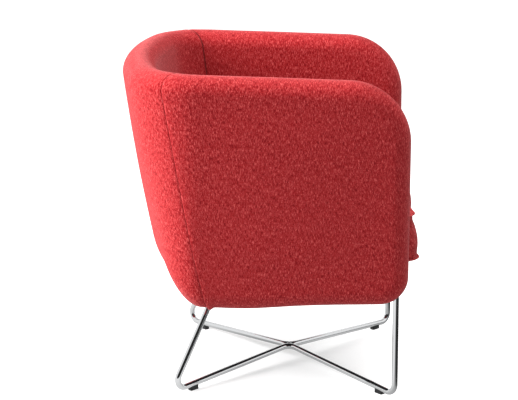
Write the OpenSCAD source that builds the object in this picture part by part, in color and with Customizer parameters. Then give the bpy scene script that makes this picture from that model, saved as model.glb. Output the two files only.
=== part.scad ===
// Tub armchair: an upholstered shell with a loose seat cushion, on a bent rod base.
// Origin on the floor under the middle of the chair, +Z up, front towards -Y.

/* [Overall size] */
// Width over the arms
overall_width = 666; // [600:1:740]
// Depth from the cushion's front to the back
overall_depth = 696; // [640:1:760]
// Height of the back's rim
back_height = 766; // [720:1:820]
// Height of the rim at the front of the arms
arm_height = 748; // [700:1:770]
// How far the cushion stands out past the arms
cushion_overhang = 29; // [15:1:40]

/* [Upholstered shell] */
// Thickness of the padded wall
panel_t = 78; // [70:1:90]
// Radius of the wall's middle line at the rear corners
corner_r = 128; // [110:1:150]
// Half of the angle that the curved back spans
back_half_angle = 16; // [15:1:20]
// Lean of the arms, in degrees
arm_lean = 3.5; // [2:0.5:5]
// Lean of the back just under the rim, in degrees
back_lean_top = 7; // [5:0.5:9]
// Lean of the back at the bottom, in degrees
back_lean_bottom = 13.5; // [12:0.5:18]
// Radius of the arm's upper front corner, seen from the side
arm_top_r = 138; // [120:1:160]
// Radius of the arm's lower front corner, seen from the side
arm_bottom_r = 65; // [55:1:75]
// Radius under the back's lower edge
back_bottom_r = 120; // [100:1:150]
// Height of the underside at the front
underside_front = 228; // [222:1:234]
// Height of the underside at the back
underside_rear = 215; // [208:1:220]
// Corner angle at which the upright seams lie
seam_angle = 42; // [30:1:60]
// Thickness of the woven cover
cover_t = 2; // [1.5:0.1:2.5]
// Thickness of the plywood boards
board_t = 18; // [15:1:20]
// Foam between a board's edge and the cover
edge_foam = 28; // [22:1:34]

/* [Seat frame] */
// Height of the top of the seat rails
rail_top = 300; // [292:1:306]
// Height of the underside of the side rails
rail_bottom = 250; // [246:1:256]
// Thickness of the front rail
rail_t = 22; // [18:1:26]
// Distance from the arms' front to the front rail
rail_setback = 52; // [50:1:60]
// Height of the rear rail's underside
rear_rail_bottom = 262; // [258:1:270]
// Thickness of the foam in front of the front rail
rail_pad_t = 10; // [6:1:12]
// Height over which the back board laps the rear rail
board_lap = 12; // [8:1:14]
// Width of the cross rail that carries the rear legs
cross_rail_w = 44; // [40:1:52]
// Height of that cross rail
cross_rail_h = 30; // [24:1:36]
// Leg length of the front corner blocks
block_leg = 60; // [45:1:75]
// Height of the front corner blocks
block_h = 40; // [30:1:46]
// Width of an elastic strap
strap_w = 50; // [40:1:60]
// Thickness of an elastic strap
strap_t = 1.5; // [1:0.1:2]
// Distance between straps
strap_pitch = 80; // [70:1:90]
// Straps that run from front to back
straps_long = 5; // [3:1:5]
// Straps that run from side to side
straps_cross = 5; // [3:1:5]
// Thickness of the deck pad on the straps
deck_pad_t = 10; // [8:1:12]
// Thickness of the deck cloth
deck_cloth_t = 2; // [1.5:0.1:2.5]
// Thickness of the cloth under the chair
dust_cloth_t = 1; // [0.8:0.1:1.2]

/* [Seat cushion] */
// Height of the cushion at its seams
cushion_h = 106; // [95:1:120]
// Height of the crown above the top seam
cushion_crown = 15; // [8:1:20]
// Width of the sewn edge that stands out at both seams
flange_w = 6; // [4:0.5:8]
// How far the sewn edge stands above or below the panel beside it
flange_rise = 1; // [0.5:0.5:2]
// Radius of the cushion's front corners
cushion_front_r = 42; // [35:1:60]
// How far the front edge bows forward in the middle
front_bow = 7; // [3:1:12]
// How much further forward the cushion's bottom edge is than its top edge
front_slope = 6; // [0:1:10]
// Bulge of the boxing at the front
front_bulge = 4; // [1:0.5:5]
// Bulge of the boxing at the sides and the back
side_bulge = 1.5; // [0.5:0.5:2]
// Clearance between the cushion and the shell
cushion_gap = 1.5; // [1:0.5:3]
// Half of the angle that the zip spans
zip_half_angle = 14; // [8:1:14]
// Thickness of the zip tape
zip_tape_t = 0.8; // [0.6:0.1:1]
// Length of the zip slider
slider_l = 16; // [12:1:20]
// Height of the zip slider
slider_h = 10; // [8:1:12]
// Thickness of the zip slider
slider_t = 3; // [2:0.2:3.2]

/* [Rod base] */
// Diameter of the chromed rod
rod_d = 14; // [12:0.5:16]
// Distance from the shell's widest side inward to the rod's axis at the feet
foot_inset = 58; // [50:1:70]
// Distance from the arms' front back to the rod's axis at the front feet
foot_setback = 27; // [20:1:34]
// Distance from the back's rearmost face forward to the rod's axis at the rear feet
foot_rear_inset = 124; // [110:1:135]
// Height of the rod's axis at the feet
foot_axis_z = 9.5; // [9:0.5:12]
// Height of the rod's axis where the two rods meet
apex_axis_z = 35; // [25:1:45]
// How far forward of the middle between the feet the two rods meet
apex_forward = 10; // [0:1:20]
// Bend radius at the feet
foot_bend_r = 22; // [18:1:28]
// Bend radius where the rods meet
apex_bend_r = 20; // [16:1:26]
// Inward lean of the front legs, as a slope
front_leg_slope = 0.05; // [0:0.01:0.08]
// Inward lean of the rear legs on each axis, as a slope
rear_leg_slope = 0.45; // [0.4:0.01:0.5]
// Length of a floor glide
glide_l = 24; // [18:1:30]
// Width of a floor glide
glide_w = 13; // [10:1:13]
// Distance from a front foot to its glide
glide_front = 50; // [45:1:60]
// Distance from a rear foot to its glide
glide_rear = 68; // [60:1:80]
// Length of a leg plate
plate_l = 90; // [80:1:100]
// Width of a leg plate
plate_w = 44; // [40:1:46]
// Thickness of a leg plate
plate_t = 4; // [3:0.5:5]
// Diameter of the base bolts
bolt_d = 8; // [6:1:8]
// Length of a base bolt under its head
bolt_l = 50; // [46:1:52]

/* [Hidden] */
$fn = 64;

// Clearance between pieces that lie face to face on curved faces
seat_gap = 0.3;
wall_r = panel_t / 2;
wall_x = overall_width / 2 - wall_r;
corner_turn = 90 - back_half_angle;
corner_x = wall_x - corner_r;
back_r = (corner_x + corner_r * cos(corner_turn)) / sin(back_half_angle);
back_y = overall_depth / 2 - wall_r;
back_axis_y = back_y - back_r;
corner_y = back_axis_y + back_r * cos(back_half_angle) - corner_r * sin(corner_turn);
arm_front_y = cushion_overhang - overall_depth / 2;
// Distance from the front that counts as away from the arm's rounded front
inland = 10000;

function lerp(a, b, t) = a + (b - a) * t;
function clamp01(t) = min(max(t, 0), 1);
function flat(rows) = [for (row = rows) for (p = row) p];

// A station on the wall's middle line is [x, y, normal x, normal y, distance from the front, blend],
// where the blend runs from 0 at the arms to 1 at the back.
function arm_at(a) = [wall_x, arm_front_y + a, 1, 0, a, 0];
function corner_at(turn) =
    [corner_x + corner_r * cos(turn), corner_y + corner_r * sin(turn), cos(turn), sin(turn),
     inland, pow(sin(90 * turn / corner_turn), 2)];
function back_at(turn) =
    [back_r * sin(turn), back_axis_y + back_r * cos(turn), sin(turn), cos(turn), inland, 1];
function mirrored(s) = [-s[0], s[1], -s[2], s[3], s[4], s[5]];
function reversed(list) = [for (k = [len(list) - 1:-1:0]) list[k]];

function depth_share(s) = clamp01((s[1] - arm_front_y) / (back_y - arm_front_y));
function rim_z(s) = lerp(arm_height, back_height, depth_share(s));
function under_z(s) = lerp(underside_front, underside_rear, depth_share(s));
function lower_r(s) = lerp(wall_r, back_bottom_r, sqrt(s[5]));

// How far the leaning wall has moved inward at a height
function lean_in(s, z) =
    let (below = max(rim_z(s) - wall_r - z, 0),
         span = rim_z(s) - wall_r - under_z(s),
         upper = tan(lerp(arm_lean, back_lean_top, s[5])),
         lower = tan(lerp(arm_lean, back_lean_bottom, s[5])))
    below * upper + below * below / span * (lower - upper) / 2;

// Distance to the wall's edge, seen from the side
function edge_distance(s, z) =
    let (upper = rim_z(s) - arm_top_r, lower = under_z(s) + arm_bottom_r)
    s[4] < arm_top_r && z > upper ? arm_top_r - norm([arm_top_r - s[4], z - upper])
    : s[4] < arm_bottom_r && z < lower ? arm_bottom_r - norm([arm_bottom_r - s[4], lower - z])
    : min(s[4], rim_z(s) - z);

// Half of the wall's thickness at a height, on a surface that lies deeper by the inset
least_half = 0.3;
function half_wall(s, z, inset) =
    let (d = min(edge_distance(s, z), wall_r))
    max(sqrt(max(pow(wall_r - inset, 2) - pow(wall_r - d, 2), 0)), least_half);
function outer_offset(s, z, inset) =
    let (lower = lower_r(s), below = max(under_z(s) + lower - z, 0))
    s[4] < arm_bottom_r ? half_wall(s, z, inset)
    : min(half_wall(s, z, inset),
          max(wall_r - lower + sqrt(max(pow(lower - inset, 2) - below * below, 0)),
              wall_r - lower + least_half));
function wall_point(s, offset, z) =
    let (o = offset - lean_in(s, z)) [s[0] + s[2] * o, s[1] + s[3] * o, z];
// The rounding under the corners and the back draws the outer face towards the chair's middle
middle_y = -60;
function inward(s) =
    let (d = unit([s[0], s[1] - middle_y, 0])) -unit(lerp([s[2], s[3], 0], d, s[5]));
function outer_point(s, z, inset) =
    let (flat_half = half_wall(s, z, inset))
    wall_point(s, flat_half, z) + inward(s) * (flat_half - outer_offset(s, z, inset));

// Rows of the wall's surface: round the rim, down to the arm's corner, down the side, round the bottom
rim_rows = 5;
shoulder_rows = 1;
side_rows = 2;
bottom_rows = 6;
foam_bottom_row = 1;
half_rows = rim_rows + shoulder_rows + side_rows + bottom_rows;
hem_depth = 10;
hem_z = rail_top + 2 * strap_t + 0.5;
function shrink(s, r, inset) =
    s[4] < r ? sqrt(max(pow(r - inset, 2) - pow(r - s[4], 2), 0)) / (r - inset) : 1;
function low_zone(s) = lerp(arm_bottom_r, back_bottom_r, sqrt(s[5]));
function top_row_z(s, j, inset) =
    let (rise = j <= rim_rows
             ? (arm_top_r - inset) - (wall_r - inset) * (1 - cos(90 * j / rim_rows))
             : (arm_top_r - wall_r) * (1 - (j - rim_rows) / shoulder_rows))
    rim_z(s) - arm_top_r + rise * shrink(s, arm_top_r, inset);
function outer_row_z(s, j, inset) =
    let (start = rim_z(s) - arm_top_r, end = under_z(s) + low_zone(s),
         k = j - rim_rows - shoulder_rows)
    k <= 0 ? top_row_z(s, j, inset)
    : k <= side_rows ? lerp(start, end, k / side_rows)
    : end - (low_zone(s) - inset) * shrink(s, arm_bottom_r, inset) * sin(90 * (k - side_rows) / bottom_rows);
function inner_row_z(s, j, inset) =
    let (start = rim_z(s) - arm_top_r, foam_rows = side_rows + foam_bottom_row,
         k = j - rim_rows - shoulder_rows)
    s[4] < rail_setback - 1 || k <= 0 ? outer_row_z(s, j, inset)
    : k <= foam_rows ? lerp(start, hem_z + hem_depth, k / foam_rows)
    : hem_z + hem_depth * (1 - (k - foam_rows) / (bottom_rows - foam_bottom_row));

// One section of the wall's surface, from the inner hem over the rim to the outer hem
function wall_section(s, inset, last_row) =
    [for (m = [-last_row:last_row])
        let (j = abs(m), z = m < 0 ? inner_row_z(s, j, inset) : outer_row_z(s, j, inset))
        m == 0 ? wall_point(s, 0, z)
        : m < 0 ? wall_point(s, -half_wall(s, z, inset), z)
        : outer_point(s, z, inset)];

// Stations of the left arm from its nose to the seam, and of the back from seam to seam
nose_steps = 5;
nose_first = 11;
corner_steps = 4;
back_steps = 8;
function nose_at(k, inset) =
    arm_at(inset + (wall_r - inset) * (1 - cos(lerp(nose_first, 90, k / nose_steps))));
function arm_stations(inset) = concat(
    [for (k = [0:nose_steps]) nose_at(k, inset)],
    [for (a = [rail_setback, arm_bottom_r, (arm_bottom_r + arm_top_r) / 2, arm_top_r]) arm_at(a)],
    [for (t = [0.25:0.25:1]) arm_at(lerp(arm_top_r, corner_y - arm_front_y, t))],
    arm_corner);
half_back = concat(
    [for (k = [0:corner_steps - 1]) corner_at(lerp(seam_angle, corner_turn, k / corner_steps))],
    [for (k = [0:back_steps / 2 - 1]) back_at(back_half_angle * (1 - 2 * k / back_steps))]);
back_stations = concat(half_back, [back_at(0)], reversed([for (s = half_back) mirrored(s)]));
arm_corner = [for (k = [1:corner_steps]) corner_at(seam_angle * k / corner_steps)];
half_frame = concat([corner_at(0)], arm_corner, [for (k = [1:len(half_back) - 1]) half_back[k]]);
frame_stations = concat(half_frame, [back_at(0)], reversed([for (s = half_frame) mirrored(s)]));

// Faces of a grid of points, with the stations as rows
function quad(a, b, c, d) = [[a, b, c], [a, c, d]];
function grid_faces(n, m, start) =
    [for (k = [0:n - 2]) for (j = [0:m - 2])
        let (a = start + k * m + j) for (f = quad(a, a + 1, a + m + 1, a + m)) f];
function turned(faces) = [for (f = faces) reversed(f)];
function edge_faces(first, step, count, lift) =
    [for (k = [0:count - 2])
        let (a = first + k * step) for (f = quad(a, a + step, a + step + lift, a + lift)) f];
// The quads of the first stations may be split along their other diagonal
function ring_faces(n, m, start, swapped = 0) =
    [for (k = [0:n - 2]) for (j = [0:m - 1])
        let (a = start + k * m + j, b = start + k * m + (j + 1) % m)
        for (f = k < swapped ? quad(b, b + m, a + m, a) : quad(a, b, b + m, a + m)) f];

// A sheet between an outer and an inner grid, closed round its edges
module sheet(outer, inner, nosed) {
    n = len(outer);
    m = len(outer[0]);
    size = n * m;
    half = (m - 1) / 2;
    outer_nose = concat(
        [for (j = [0:half - 2]) for (f = quad(j, m - 1 - j, m - 2 - j, j + 1)) f],
        [[half - 1, half + 1, half]]);
    first_edge = nosed
        ? concat(outer_nose, [for (f = turned(outer_nose)) [f[0] + size, f[1] + size, f[2] + size]],
                 quad(m - 1, 0, size, size + m - 1))
        : turned(edge_faces(0, 1, m, size));
    polyhedron(
        points = concat(flat(outer), flat(inner)),
        faces = turned(concat(first_edge, edge_faces(0, m, n, size), turned(edge_faces(m - 1, m, n, size)),
            edge_faces((n - 1) * m, 1, m, size), grid_faces(n, m, 0), turned(grid_faces(n, m, size)))));
}

// A solid swept through closed sections
module loft(sections, swapped = 0) {
    n = len(sections);
    m = len(sections[0]);
    polyhedron(
        points = flat(sections),
        faces = concat(turned(ring_faces(n, m, 0, swapped)), [[for (j = [0:m - 1]) j]],
            [[for (j = [m - 1:-1:0]) (n - 1) * m + j]]));
}

// Boards run straight between their lower edge and the rim, where the padded wall curves
back_board_bottom = rail_top - board_lap;
function board_lean(s, z) =
    let (top = rim_z(s) - wall_r) lean_in(s, back_board_bottom) * (top - z) / (top - back_board_bottom);
function board_point(s, offset, z) =
    let (o = offset - board_lean(s, z)) [s[0] + s[2] * o, s[1] + s[3] * o, z];
function board_box(s, near, far, low, high) =
    [board_point(s, near, low), board_point(s, near, high),
     board_point(s, far, high), board_point(s, far, low)];

// A board's top edge follows the rim and the arm's rounded front
arc_steps = 6;
board_front = nose_at(nose_steps - 1, cover_t)[4];
board_end = corner_y - arm_front_y;
board_top_r = arm_top_r - board_front;
board_low_r = arm_bottom_r - board_front;
function board_top(s) =
    let (ahead = max(arm_top_r - s[4], 0))
    rim_z(s) - edge_foam - board_top_r + sqrt(max(pow(board_top_r, 2) - ahead * ahead, 0));
// Outline of a side board, seen from the side: [distance from the front, height]
side_board_outline = concat(
    [[board_end, rail_bottom], [board_end, board_top(arm_at(board_end))]],
    [for (k = [0:arc_steps])
        let (a = arm_top_r - board_top_r * sin(90 * k / arc_steps)) [a, board_top(arm_at(a))]],
    [for (k = [0:arc_steps])
        let (t = 90 * k / arc_steps)
        [arm_bottom_r - board_low_r * cos(t), rail_bottom + board_low_r - board_low_r * sin(t)]]);
module side_board_shape() {
    m = len(side_board_outline);
    polyhedron(
        points = [for (o = [-board_t / 2, board_t / 2]) for (p = side_board_outline)
            board_point(arm_at(p[0]), o, p[1])],
        faces = concat(turned(ring_faces(2, m, 0)), [[for (j = [0:m - 1]) j]], [[for (j = [m - 1:-1:0]) m + j]]));
}
// The board's faces are split where the foam ends and along the same diagonals as the foam's slot
module back_board_shape() {
    loft([for (s = frame_stations)
        let (near = -board_t / 2, far = board_t / 2, top = board_top(s))
        [board_point(s, near, back_board_bottom), board_point(s, near, slot_low(s, -1)),
         board_point(s, near, top), board_point(s, far, top),
         board_point(s, far, slot_low(s, 1)), board_point(s, far, back_board_bottom)]],
        swapped = len(frame_stations) - 1 - corner_steps);
}

// Seat frame: inner faces of the side rails, and what lies between them
rail_inner = wall_r - cover_t - seat_gap - 0.2;
rail_front_y = arm_front_y + rail_setback;
side_rail_top = rail_top + strap_t;
rail_front = arm_at(rail_setback);
front_half = wall_x - wall_r - lean_in(rail_front, under_z(rail_front) + wall_r) - seat_gap;
front_rail_bottom = under_z(rail_front) + 2 * cover_t + dust_cloth_t + seat_gap;
deck_bottom = rail_top + 2 * strap_t;
deck_top = deck_bottom + deck_pad_t;
cushion_z = deck_top + max(deck_cloth_t, cover_t) + seat_gap + flange_rise;
// Clearances beside the flat facets of the wall, and over those of its rounded bottom
deck_gap = 0.8;
round_gap = 2.5;

// Feet, leg tops and the rod's path
foot_x = overall_width / 2 - foot_inset;
foot_front_y = arm_front_y + foot_setback;
foot_rear_y = overall_depth / 2 - foot_rear_inset;
apex_y = (foot_front_y + foot_rear_y) / 2 - apex_forward;
leg_top_z = rail_bottom - plate_t;
leg_rise = leg_top_z - foot_axis_z;
function foot_point(side, front) = [side * foot_x, front ? foot_front_y : foot_rear_y, foot_axis_z];
function leg_slope(side, front) =
    front ? [-side * front_leg_slope, 0, 1] : [-side * rear_leg_slope, -rear_leg_slope, 1];
function leg_point(side, front, z) = foot_point(side, front) + leg_slope(side, front) * (z - foot_axis_z);
// Distance from each rod to the middle plane where the rods meet
weld_gap = 0.4;
function unit(v) = v / norm(v);
function turn_of(a, b, c) = acos(unit(b - a) * unit(c - b));
apex_turn = turn_of([foot_x, foot_front_y, foot_axis_z], [0, apex_y, apex_axis_z],
    [foot_x, foot_rear_y, foot_axis_z]);
function apex_point(side) =
    [side * (rod_d / 2 + weld_gap - apex_bend_r * (1 / cos(apex_turn / 2) - 1)), apex_y, apex_axis_z];
function rod_points(side) =
    [leg_top(side, true), foot_point(side, true), apex_point(side),
     foot_point(side, false), leg_top(side, false)];
rod_bends = [0, foot_bend_r, apex_bend_r, foot_bend_r, 0];

module rod_between(a, b, d) {
    v = b - a;
    translate(a)
        rotate([0, acos(v[2] / norm(v)), atan2(v[1], v[0])])
            cylinder(d = d, h = norm(v));
}
// A bend's centre and axes: outward at its start, along the rod at its start, and its turning axis
function bend_frame(before, corner, after, r) =
    let (u = unit(corner - before), v = unit(after - corner), turn = turn_of(before, corner, after),
         centre = corner + unit(v - u) * r / cos(turn / 2),
         x = unit(corner - u * r * tan(turn / 2) - centre))
    [centre, x, u, cross(x, u)];
// The rod's axis as [point, direction], with steps round each bend
bend_steps = 8;
function rod_axis(points) = concat(
    [[points[0], unit(points[1] - points[0])]],
    [for (k = [1:len(points) - 2])
        let (b = bend_frame(points[k - 1], points[k], points[k + 1], rod_bends[k]),
             turn = turn_of(points[k - 1], points[k], points[k + 1]))
        for (i = [0:bend_steps])
            let (t = turn * i / bend_steps)
            [b[0] + rod_bends[k] * (cos(t) * b[1] + sin(t) * b[2]), cos(t) * b[2] - sin(t) * b[1]]],
    [[points[4], unit(points[4] - points[3])]]);
// Directions across the rod that turn with it and don't twist
function across(axis, k, before) =
    let (n = unit(before - axis[k][1] * (before * axis[k][1])))
    k == len(axis) - 1 ? [n] : concat([n], across(axis, k + 1, n));
rod_sides = 24;
module rod(side) {
    axis = rod_axis(rod_points(side));
    normals = across(axis, 0, [0, 1, 0]);
    loft([for (k = [0:len(axis) - 1])
        let (p = axis[k][0], t = axis[k][1], n = normals[k], b = cross(t, n))
        [for (j = [0:rod_sides - 1])
            let (a = 360 * j / rod_sides, q = p + rod_d / 2 * (cos(a) * n + sin(a) * b))
            k == 0 || k == len(axis) - 1 ? q + t * (leg_top_z - q[2]) / t[2] : q]]);
}
module rod_right() { color("silver") rod(-1); }
module rod_left() { color("silver") rod(1); }
// The weld fills the notch where the two bends lie back to back
weld_r = rod_d / 2 + 1;
weld_sides = 12;
module rod_weld() {
    color("darkgray") difference() {
        translate([0, apex_y, apex_axis_z - weld_drop()])
            sphere(r = weld_r, $fn = weld_sides);
        for (side = [-1, 1])
            rod(side);
    }
}
function weld_drop() =
    let (a = [foot_x, foot_front_y, foot_axis_z], b = [0, apex_y, apex_axis_z],
         c = [foot_x, foot_rear_y, foot_axis_z], v = unit(unit(c - b) - unit(b - a)))
    -v[2] * apex_bend_r * (1 / cos(apex_turn / 2) - 1);

// A glide hugs the underside of the rod and stands on the floor
glide_round = 3;
module glide(side, front) {
    foot = foot_point(side, front);
    run = unit(apex_point(side) - foot);
    at = foot + run * (front ? glide_front : glide_rear);
    color("black") difference() {
        translate([at[0], at[1], 0])
            rotate([0, 0, atan2(run[1], run[0])])
                linear_extrude(at[2] - 1)
                    rounded(glide_l, glide_w, glide_round);
        rod_between(foot, apex_point(side), rod_d);
    }
}
module rounded(l, w, r) {
    square([l - 2 * r, w], center = true);
    square([l, w - 2 * r], center = true);
    for (x = [-1, 1]) for (y = [-1, 1])
        translate([x * (l / 2 - r), y * (w / 2 - r)])
            circle(r = r);
}
module glide_front_right() { glide(-1, true); }
module glide_front_left() { glide(1, true); }
module glide_rear_right() { glide(-1, false); }
module glide_rear_left() { glide(1, false); }

// Leg plates under the rails, with two bolts each
plate_round = 6;
bolt_hole_d = bolt_d + 0.4;
bolt_inset = 18;
rail_mid_x = wall_x - board_lean(rail_front, rail_bottom) - (rail_inner + board_t / 2) / 2;
function leg_top(side, front) = leg_point(side, front, leg_top_z);
function bolt_spots(side, front) =
    let (top = leg_top(side, front))
    front ? [for (y = [bolt_inset, plate_l - bolt_inset]) [side * rail_mid_x, rail_front_y + y]]
    : [for (x = [-1, 1]) [top[0] + x * (plate_l / 2 - bolt_inset), top[1]]];
all_bolt_spots = [for (side = [-1, 1]) for (front = [true, false]) for (p = bolt_spots(side, front)) p];
module leg_plate(side, front) {
    top = leg_top(side, front);
    plate_mid_x = side * (rail_mid_x + plate_w / 4);
    color("dimgray") translate([0, 0, leg_top_z]) linear_extrude(plate_t) difference() {
        union() {
            if (front) {
                translate([plate_mid_x, rail_front_y + plate_l / 2])
                    rounded(plate_w, plate_l, plate_round);
                translate([top[0] - rod_d / 2, top[1]])
                    square([rod_d, rail_front_y - top[1] + plate_round]);
                translate([top[0], top[1]])
                    circle(d = rod_d);
            } else {
                translate([top[0], top[1]])
                    rounded(plate_l, cross_rail_w, plate_round);
            }
        }
        for (p = bolt_spots(side, front))
            translate(p)
                circle(d = bolt_hole_d);
    }
}
module leg_plate_front_right() { leg_plate(-1, true); }
module leg_plate_front_left() { leg_plate(1, true); }
module leg_plate_rear_right() { leg_plate(-1, false); }
module leg_plate_rear_left() { leg_plate(1, false); }

bolt_head_d = 13;
bolt_head_h = 5;
nut_flange_d = 20;
nut_flange_t = 1.5;
nut_barrel_d = 10;
nut_barrel_l = 11;
module base_bolts() {
    color("gray") for (p = all_bolt_spots) translate([p[0], p[1], leg_top_z]) {
        translate([0, 0, -bolt_head_h]) difference() {
            cylinder(d = bolt_head_d, h = bolt_head_h);
            translate([0, 0, -1])
                cylinder(d = 7, h = 4, $fn = 6);
        }
        cylinder(d = bolt_d, h = front_bolt(p) ? bolt_l : bolt_l - (rail_top - rail_bottom - cross_rail_h));
    }
}
// Front bolts go into the tall side rails, rear bolts into the cross rail
function front_bolt(p) = p[1] < 0;
function bolt_rail_top(p) = front_bolt(p) ? side_rail_top : rail_bottom + cross_rail_h;
module nut_at(p, spare) {
    translate([p[0], p[1], bolt_rail_top(p) - nut_flange_t]) {
        cylinder(d = nut_flange_d + spare, h = nut_flange_t + spare);
        translate([0, 0, -nut_barrel_l])
            cylinder(d = nut_barrel_d + spare, h = nut_barrel_l + nut_flange_t);
    }
}
module tee_nuts() {
    color("gray") for (p = all_bolt_spots) difference() {
        nut_at(p, 0);
        translate([p[0], p[1], rail_bottom])
            cylinder(d = bolt_d, h = 2 * rail_top);
    }
}
// Holes that the bolts and their nuts take from a rail
module bolt_holes() {
    for (p = all_bolt_spots) {
        nut_at(p, 0.1);
        translate([p[0], p[1], rail_bottom - 1])
            cylinder(d = bolt_hole_d, h = side_rail_top - rail_bottom);
    }
}

// Wood screws through the boards into the rails
screw_d = 4;
screw_l = 40;
screw_head_d = 8;
screw_head_h = 3;
screws_per_side = 4;
last_screw_inset = 25;
rear_screw_turn = back_half_angle - 4;
screw_z = (rail_bottom + rail_top) / 2;
module screw_shape(spare) {
    cylinder(d = screw_head_d + spare, h = screw_head_h);
    cylinder(d = screw_d + spare, h = screw_l + spare);
}
module side_screws(spare) {
    for (k = [0:screws_per_side - 1]) {
        a = lerp(plate_l / 2 + rail_setback + screw_head_d, board_end - last_screw_inset, k / (screws_per_side - 1));
        translate(board_point(arm_at(a), board_t / 2, screw_z))
            rotate([0, arm_lean - 90, 0])
                screw_shape(spare);
    }
}
module rear_screws(spare) {
    for (turn = [-rear_screw_turn, 0, rear_screw_turn])
        translate(board_point(back_at(turn), board_t / 2, rail_top - board_lap / 2))
            rotate([90, 0, -turn])
                screw_shape(spare);
}
module frame_screws() {
    color("goldenrod") {
        side_screws(0);
        mirror([1, 0, 0])
            side_screws(0);
        rear_screws(0);
    }
}
screw_spare = 0.2;

module side_board() {
    color("burlywood") difference() {
        side_board_shape();
        side_screws(screw_spare);
    }
}
module side_board_left() { side_board(); }
module side_board_right() { mirror([1, 0, 0]) side_board(); }
module back_board() {
    color("burlywood") difference() {
        back_board_shape();
        rear_screws(screw_spare);
    }
}

module side_rail() {
    color("tan") difference() {
        loft([for (a = [rail_setback, board_end])
            board_box(arm_at(a), -rail_inner, -board_t / 2, rail_bottom, side_rail_top)]);
        side_screws(screw_spare);
        bolt_holes();
    }
}
module side_rail_left() { side_rail(); }
module side_rail_right() { mirror([1, 0, 0]) side_rail(); }
module rear_rail() {
    color("tan") difference() {
        loft([for (s = frame_stations)
            let (outer = -board_t / 2 - deck_gap,
                 low = min(outer, outer_offset(s, rear_rail_bottom, cover_t) - round_gap))
            [board_point(s, -rail_inner, rear_rail_bottom), board_point(s, -rail_inner, rail_top),
             board_point(s, outer, rail_top), board_point(s, low, rear_rail_bottom)]]);
        rear_screws(screw_spare);
    }
}
module front_rail() {
    color("tan")
        translate([-front_half, rail_front_y, front_rail_bottom])
            cube([2 * front_half, rail_t, rail_top - front_rail_bottom]);
}
// Half of the space between the side rails, at a distance from the middle of the chair
function between_rails(y) =
    wall_x - board_lean(arm_at(y - arm_front_y), rail_bottom) - rail_inner - seat_gap;
module leg_cross_rail() {
    mid_y = leg_top(1, false)[1];
    half = between_rails(mid_y + cross_rail_w / 2);
    color("tan") difference() {
        translate([-half, mid_y - cross_rail_w / 2, rail_bottom])
            cube([2 * half, cross_rail_w, cross_rail_h]);
        bolt_holes();
    }
}
block_z = rail_bottom + 4;
module corner_blocks() {
    start_y = rail_front_y + rail_t;
    color("tan") for (side = [0, 1]) mirror([side, 0, 0])
        translate([between_rails(start_y + block_leg), start_y, block_z])
            linear_extrude(block_h)
                polygon([[0, 0], [0, block_leg], [-block_leg, 0]]);
}

// Elastic straps on the rails
strap_grip = 12;
straps_forward = 10;
straps_mid_y = middle_y - straps_forward;
module straps_lengthwise() {
    front_y = rail_front_y + rail_t - strap_grip;
    color("black") for (k = [0:straps_long - 1]) {
        x = (k - (straps_long - 1) / 2) * strap_pitch;
        rail_r = back_r - board_lean(back_at(0), rail_top) - (rail_inner + board_t / 2) / 2;
        rear_y = back_axis_y + sqrt(pow(rail_r, 2) - pow(abs(x) + strap_w / 2, 2));
        translate([x - strap_w / 2, front_y, rail_top])
            cube([strap_w, rear_y - front_y, strap_t]);
    }
}
module straps_crosswise() {
    half = wall_x - board_lean(rail_front, side_rail_top) - rail_inner + strap_grip;
    color("dimgray") for (k = [0:straps_cross - 1])
        translate([-half, (k - (straps_cross - 1) / 2) * strap_pitch + straps_mid_y - strap_w / 2, side_rail_top])
            cube([2 * half, strap_w, strap_t]);
}

// Deck: what the cushion lies on, inside the padded wall
function deck_side(y) = concat([arm_at(y - arm_front_y)], frame_stations, [mirrored(arm_at(y - arm_front_y))]);
module deck_sheet(y, low, t) {
    translate([0, 0, low]) linear_extrude(t)
        polygon([for (s = deck_side(y)) let (p = wall_point(s, -wall_r - deck_gap, low)) [p[0], p[1]]]);
}
module deck_pad() { color("white") deck_sheet(rail_front_y, deck_bottom, deck_pad_t); }
fold = 14;
module deck_cloth() { color("black") deck_sheet(rail_front_y + fold + seat_gap, deck_top, deck_cloth_t); }

// The front rail's pad and its cover, seen from the side and drawn out along X
front_round = 8;
module front_profile(grow, r, depth) {
    size = [rail_pad_t + grow + depth, deck_top - front_rail_bottom + 2 * grow];
    translate([rail_front_y - rail_pad_t - grow, front_rail_bottom - grow]) intersection() {
        square(size);
        union() {
            translate([r, 0])
                square(size);
            translate([0, r])
                square([size[0], size[1] - 2 * r]);
            for (y = [r, size[1] - r])
                translate([r, y])
                    circle(r = r);
        }
    }
}
module along_front() {
    translate([-front_half, 0, 0])
        rotate([90, 0, 90])
            linear_extrude(2 * front_half)
                children();
}
module front_rail_pad() {
    color("ivory") along_front()
        front_profile(0, front_round - cover_t, 0);
}
module front_rail_cover() {
    color("firebrick") along_front() difference() {
        front_profile(cover_t, front_round, fold);
        front_profile(0, front_round - cover_t, fold + 1);
    }
}

// Cloth under the chair, a flat sheet between the lower hems of the covers that slopes as they do
dust_arm = [for (a = [rail_setback, arm_bottom_r]) arm_at(a)];
dust_stations = concat(dust_arm, frame_stations, reversed([for (s = dust_arm) mirrored(s)]));
dust_inset = 4;
function hem_at(s) = outer_point(s, under_z(s), 0);
dust_front_z = under_z(rail_front) + cover_t;
dust_slope = atan((under_z(back_at(0)) + cover_t - dust_front_z) / (hem_at(back_at(0))[1] - rail_front_y));
module dust_cloth() {
    hem = [for (s = dust_stations) hem_at(s)];
    edge = [for (p = hem) p - unit([p[0], p[1] - middle_y, 0]) * dust_inset];
    color("dimgray") difference() {
        translate([0, rail_front_y, dust_front_z])
            rotate([dust_slope, 0, 0])
                linear_extrude(dust_cloth_t)
                    polygon([for (p = edge) [p[0], (p[1] - rail_front_y) / cos(dust_slope)]]);
        leg_holes();
    }
}
leg_clearance = 3;
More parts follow.
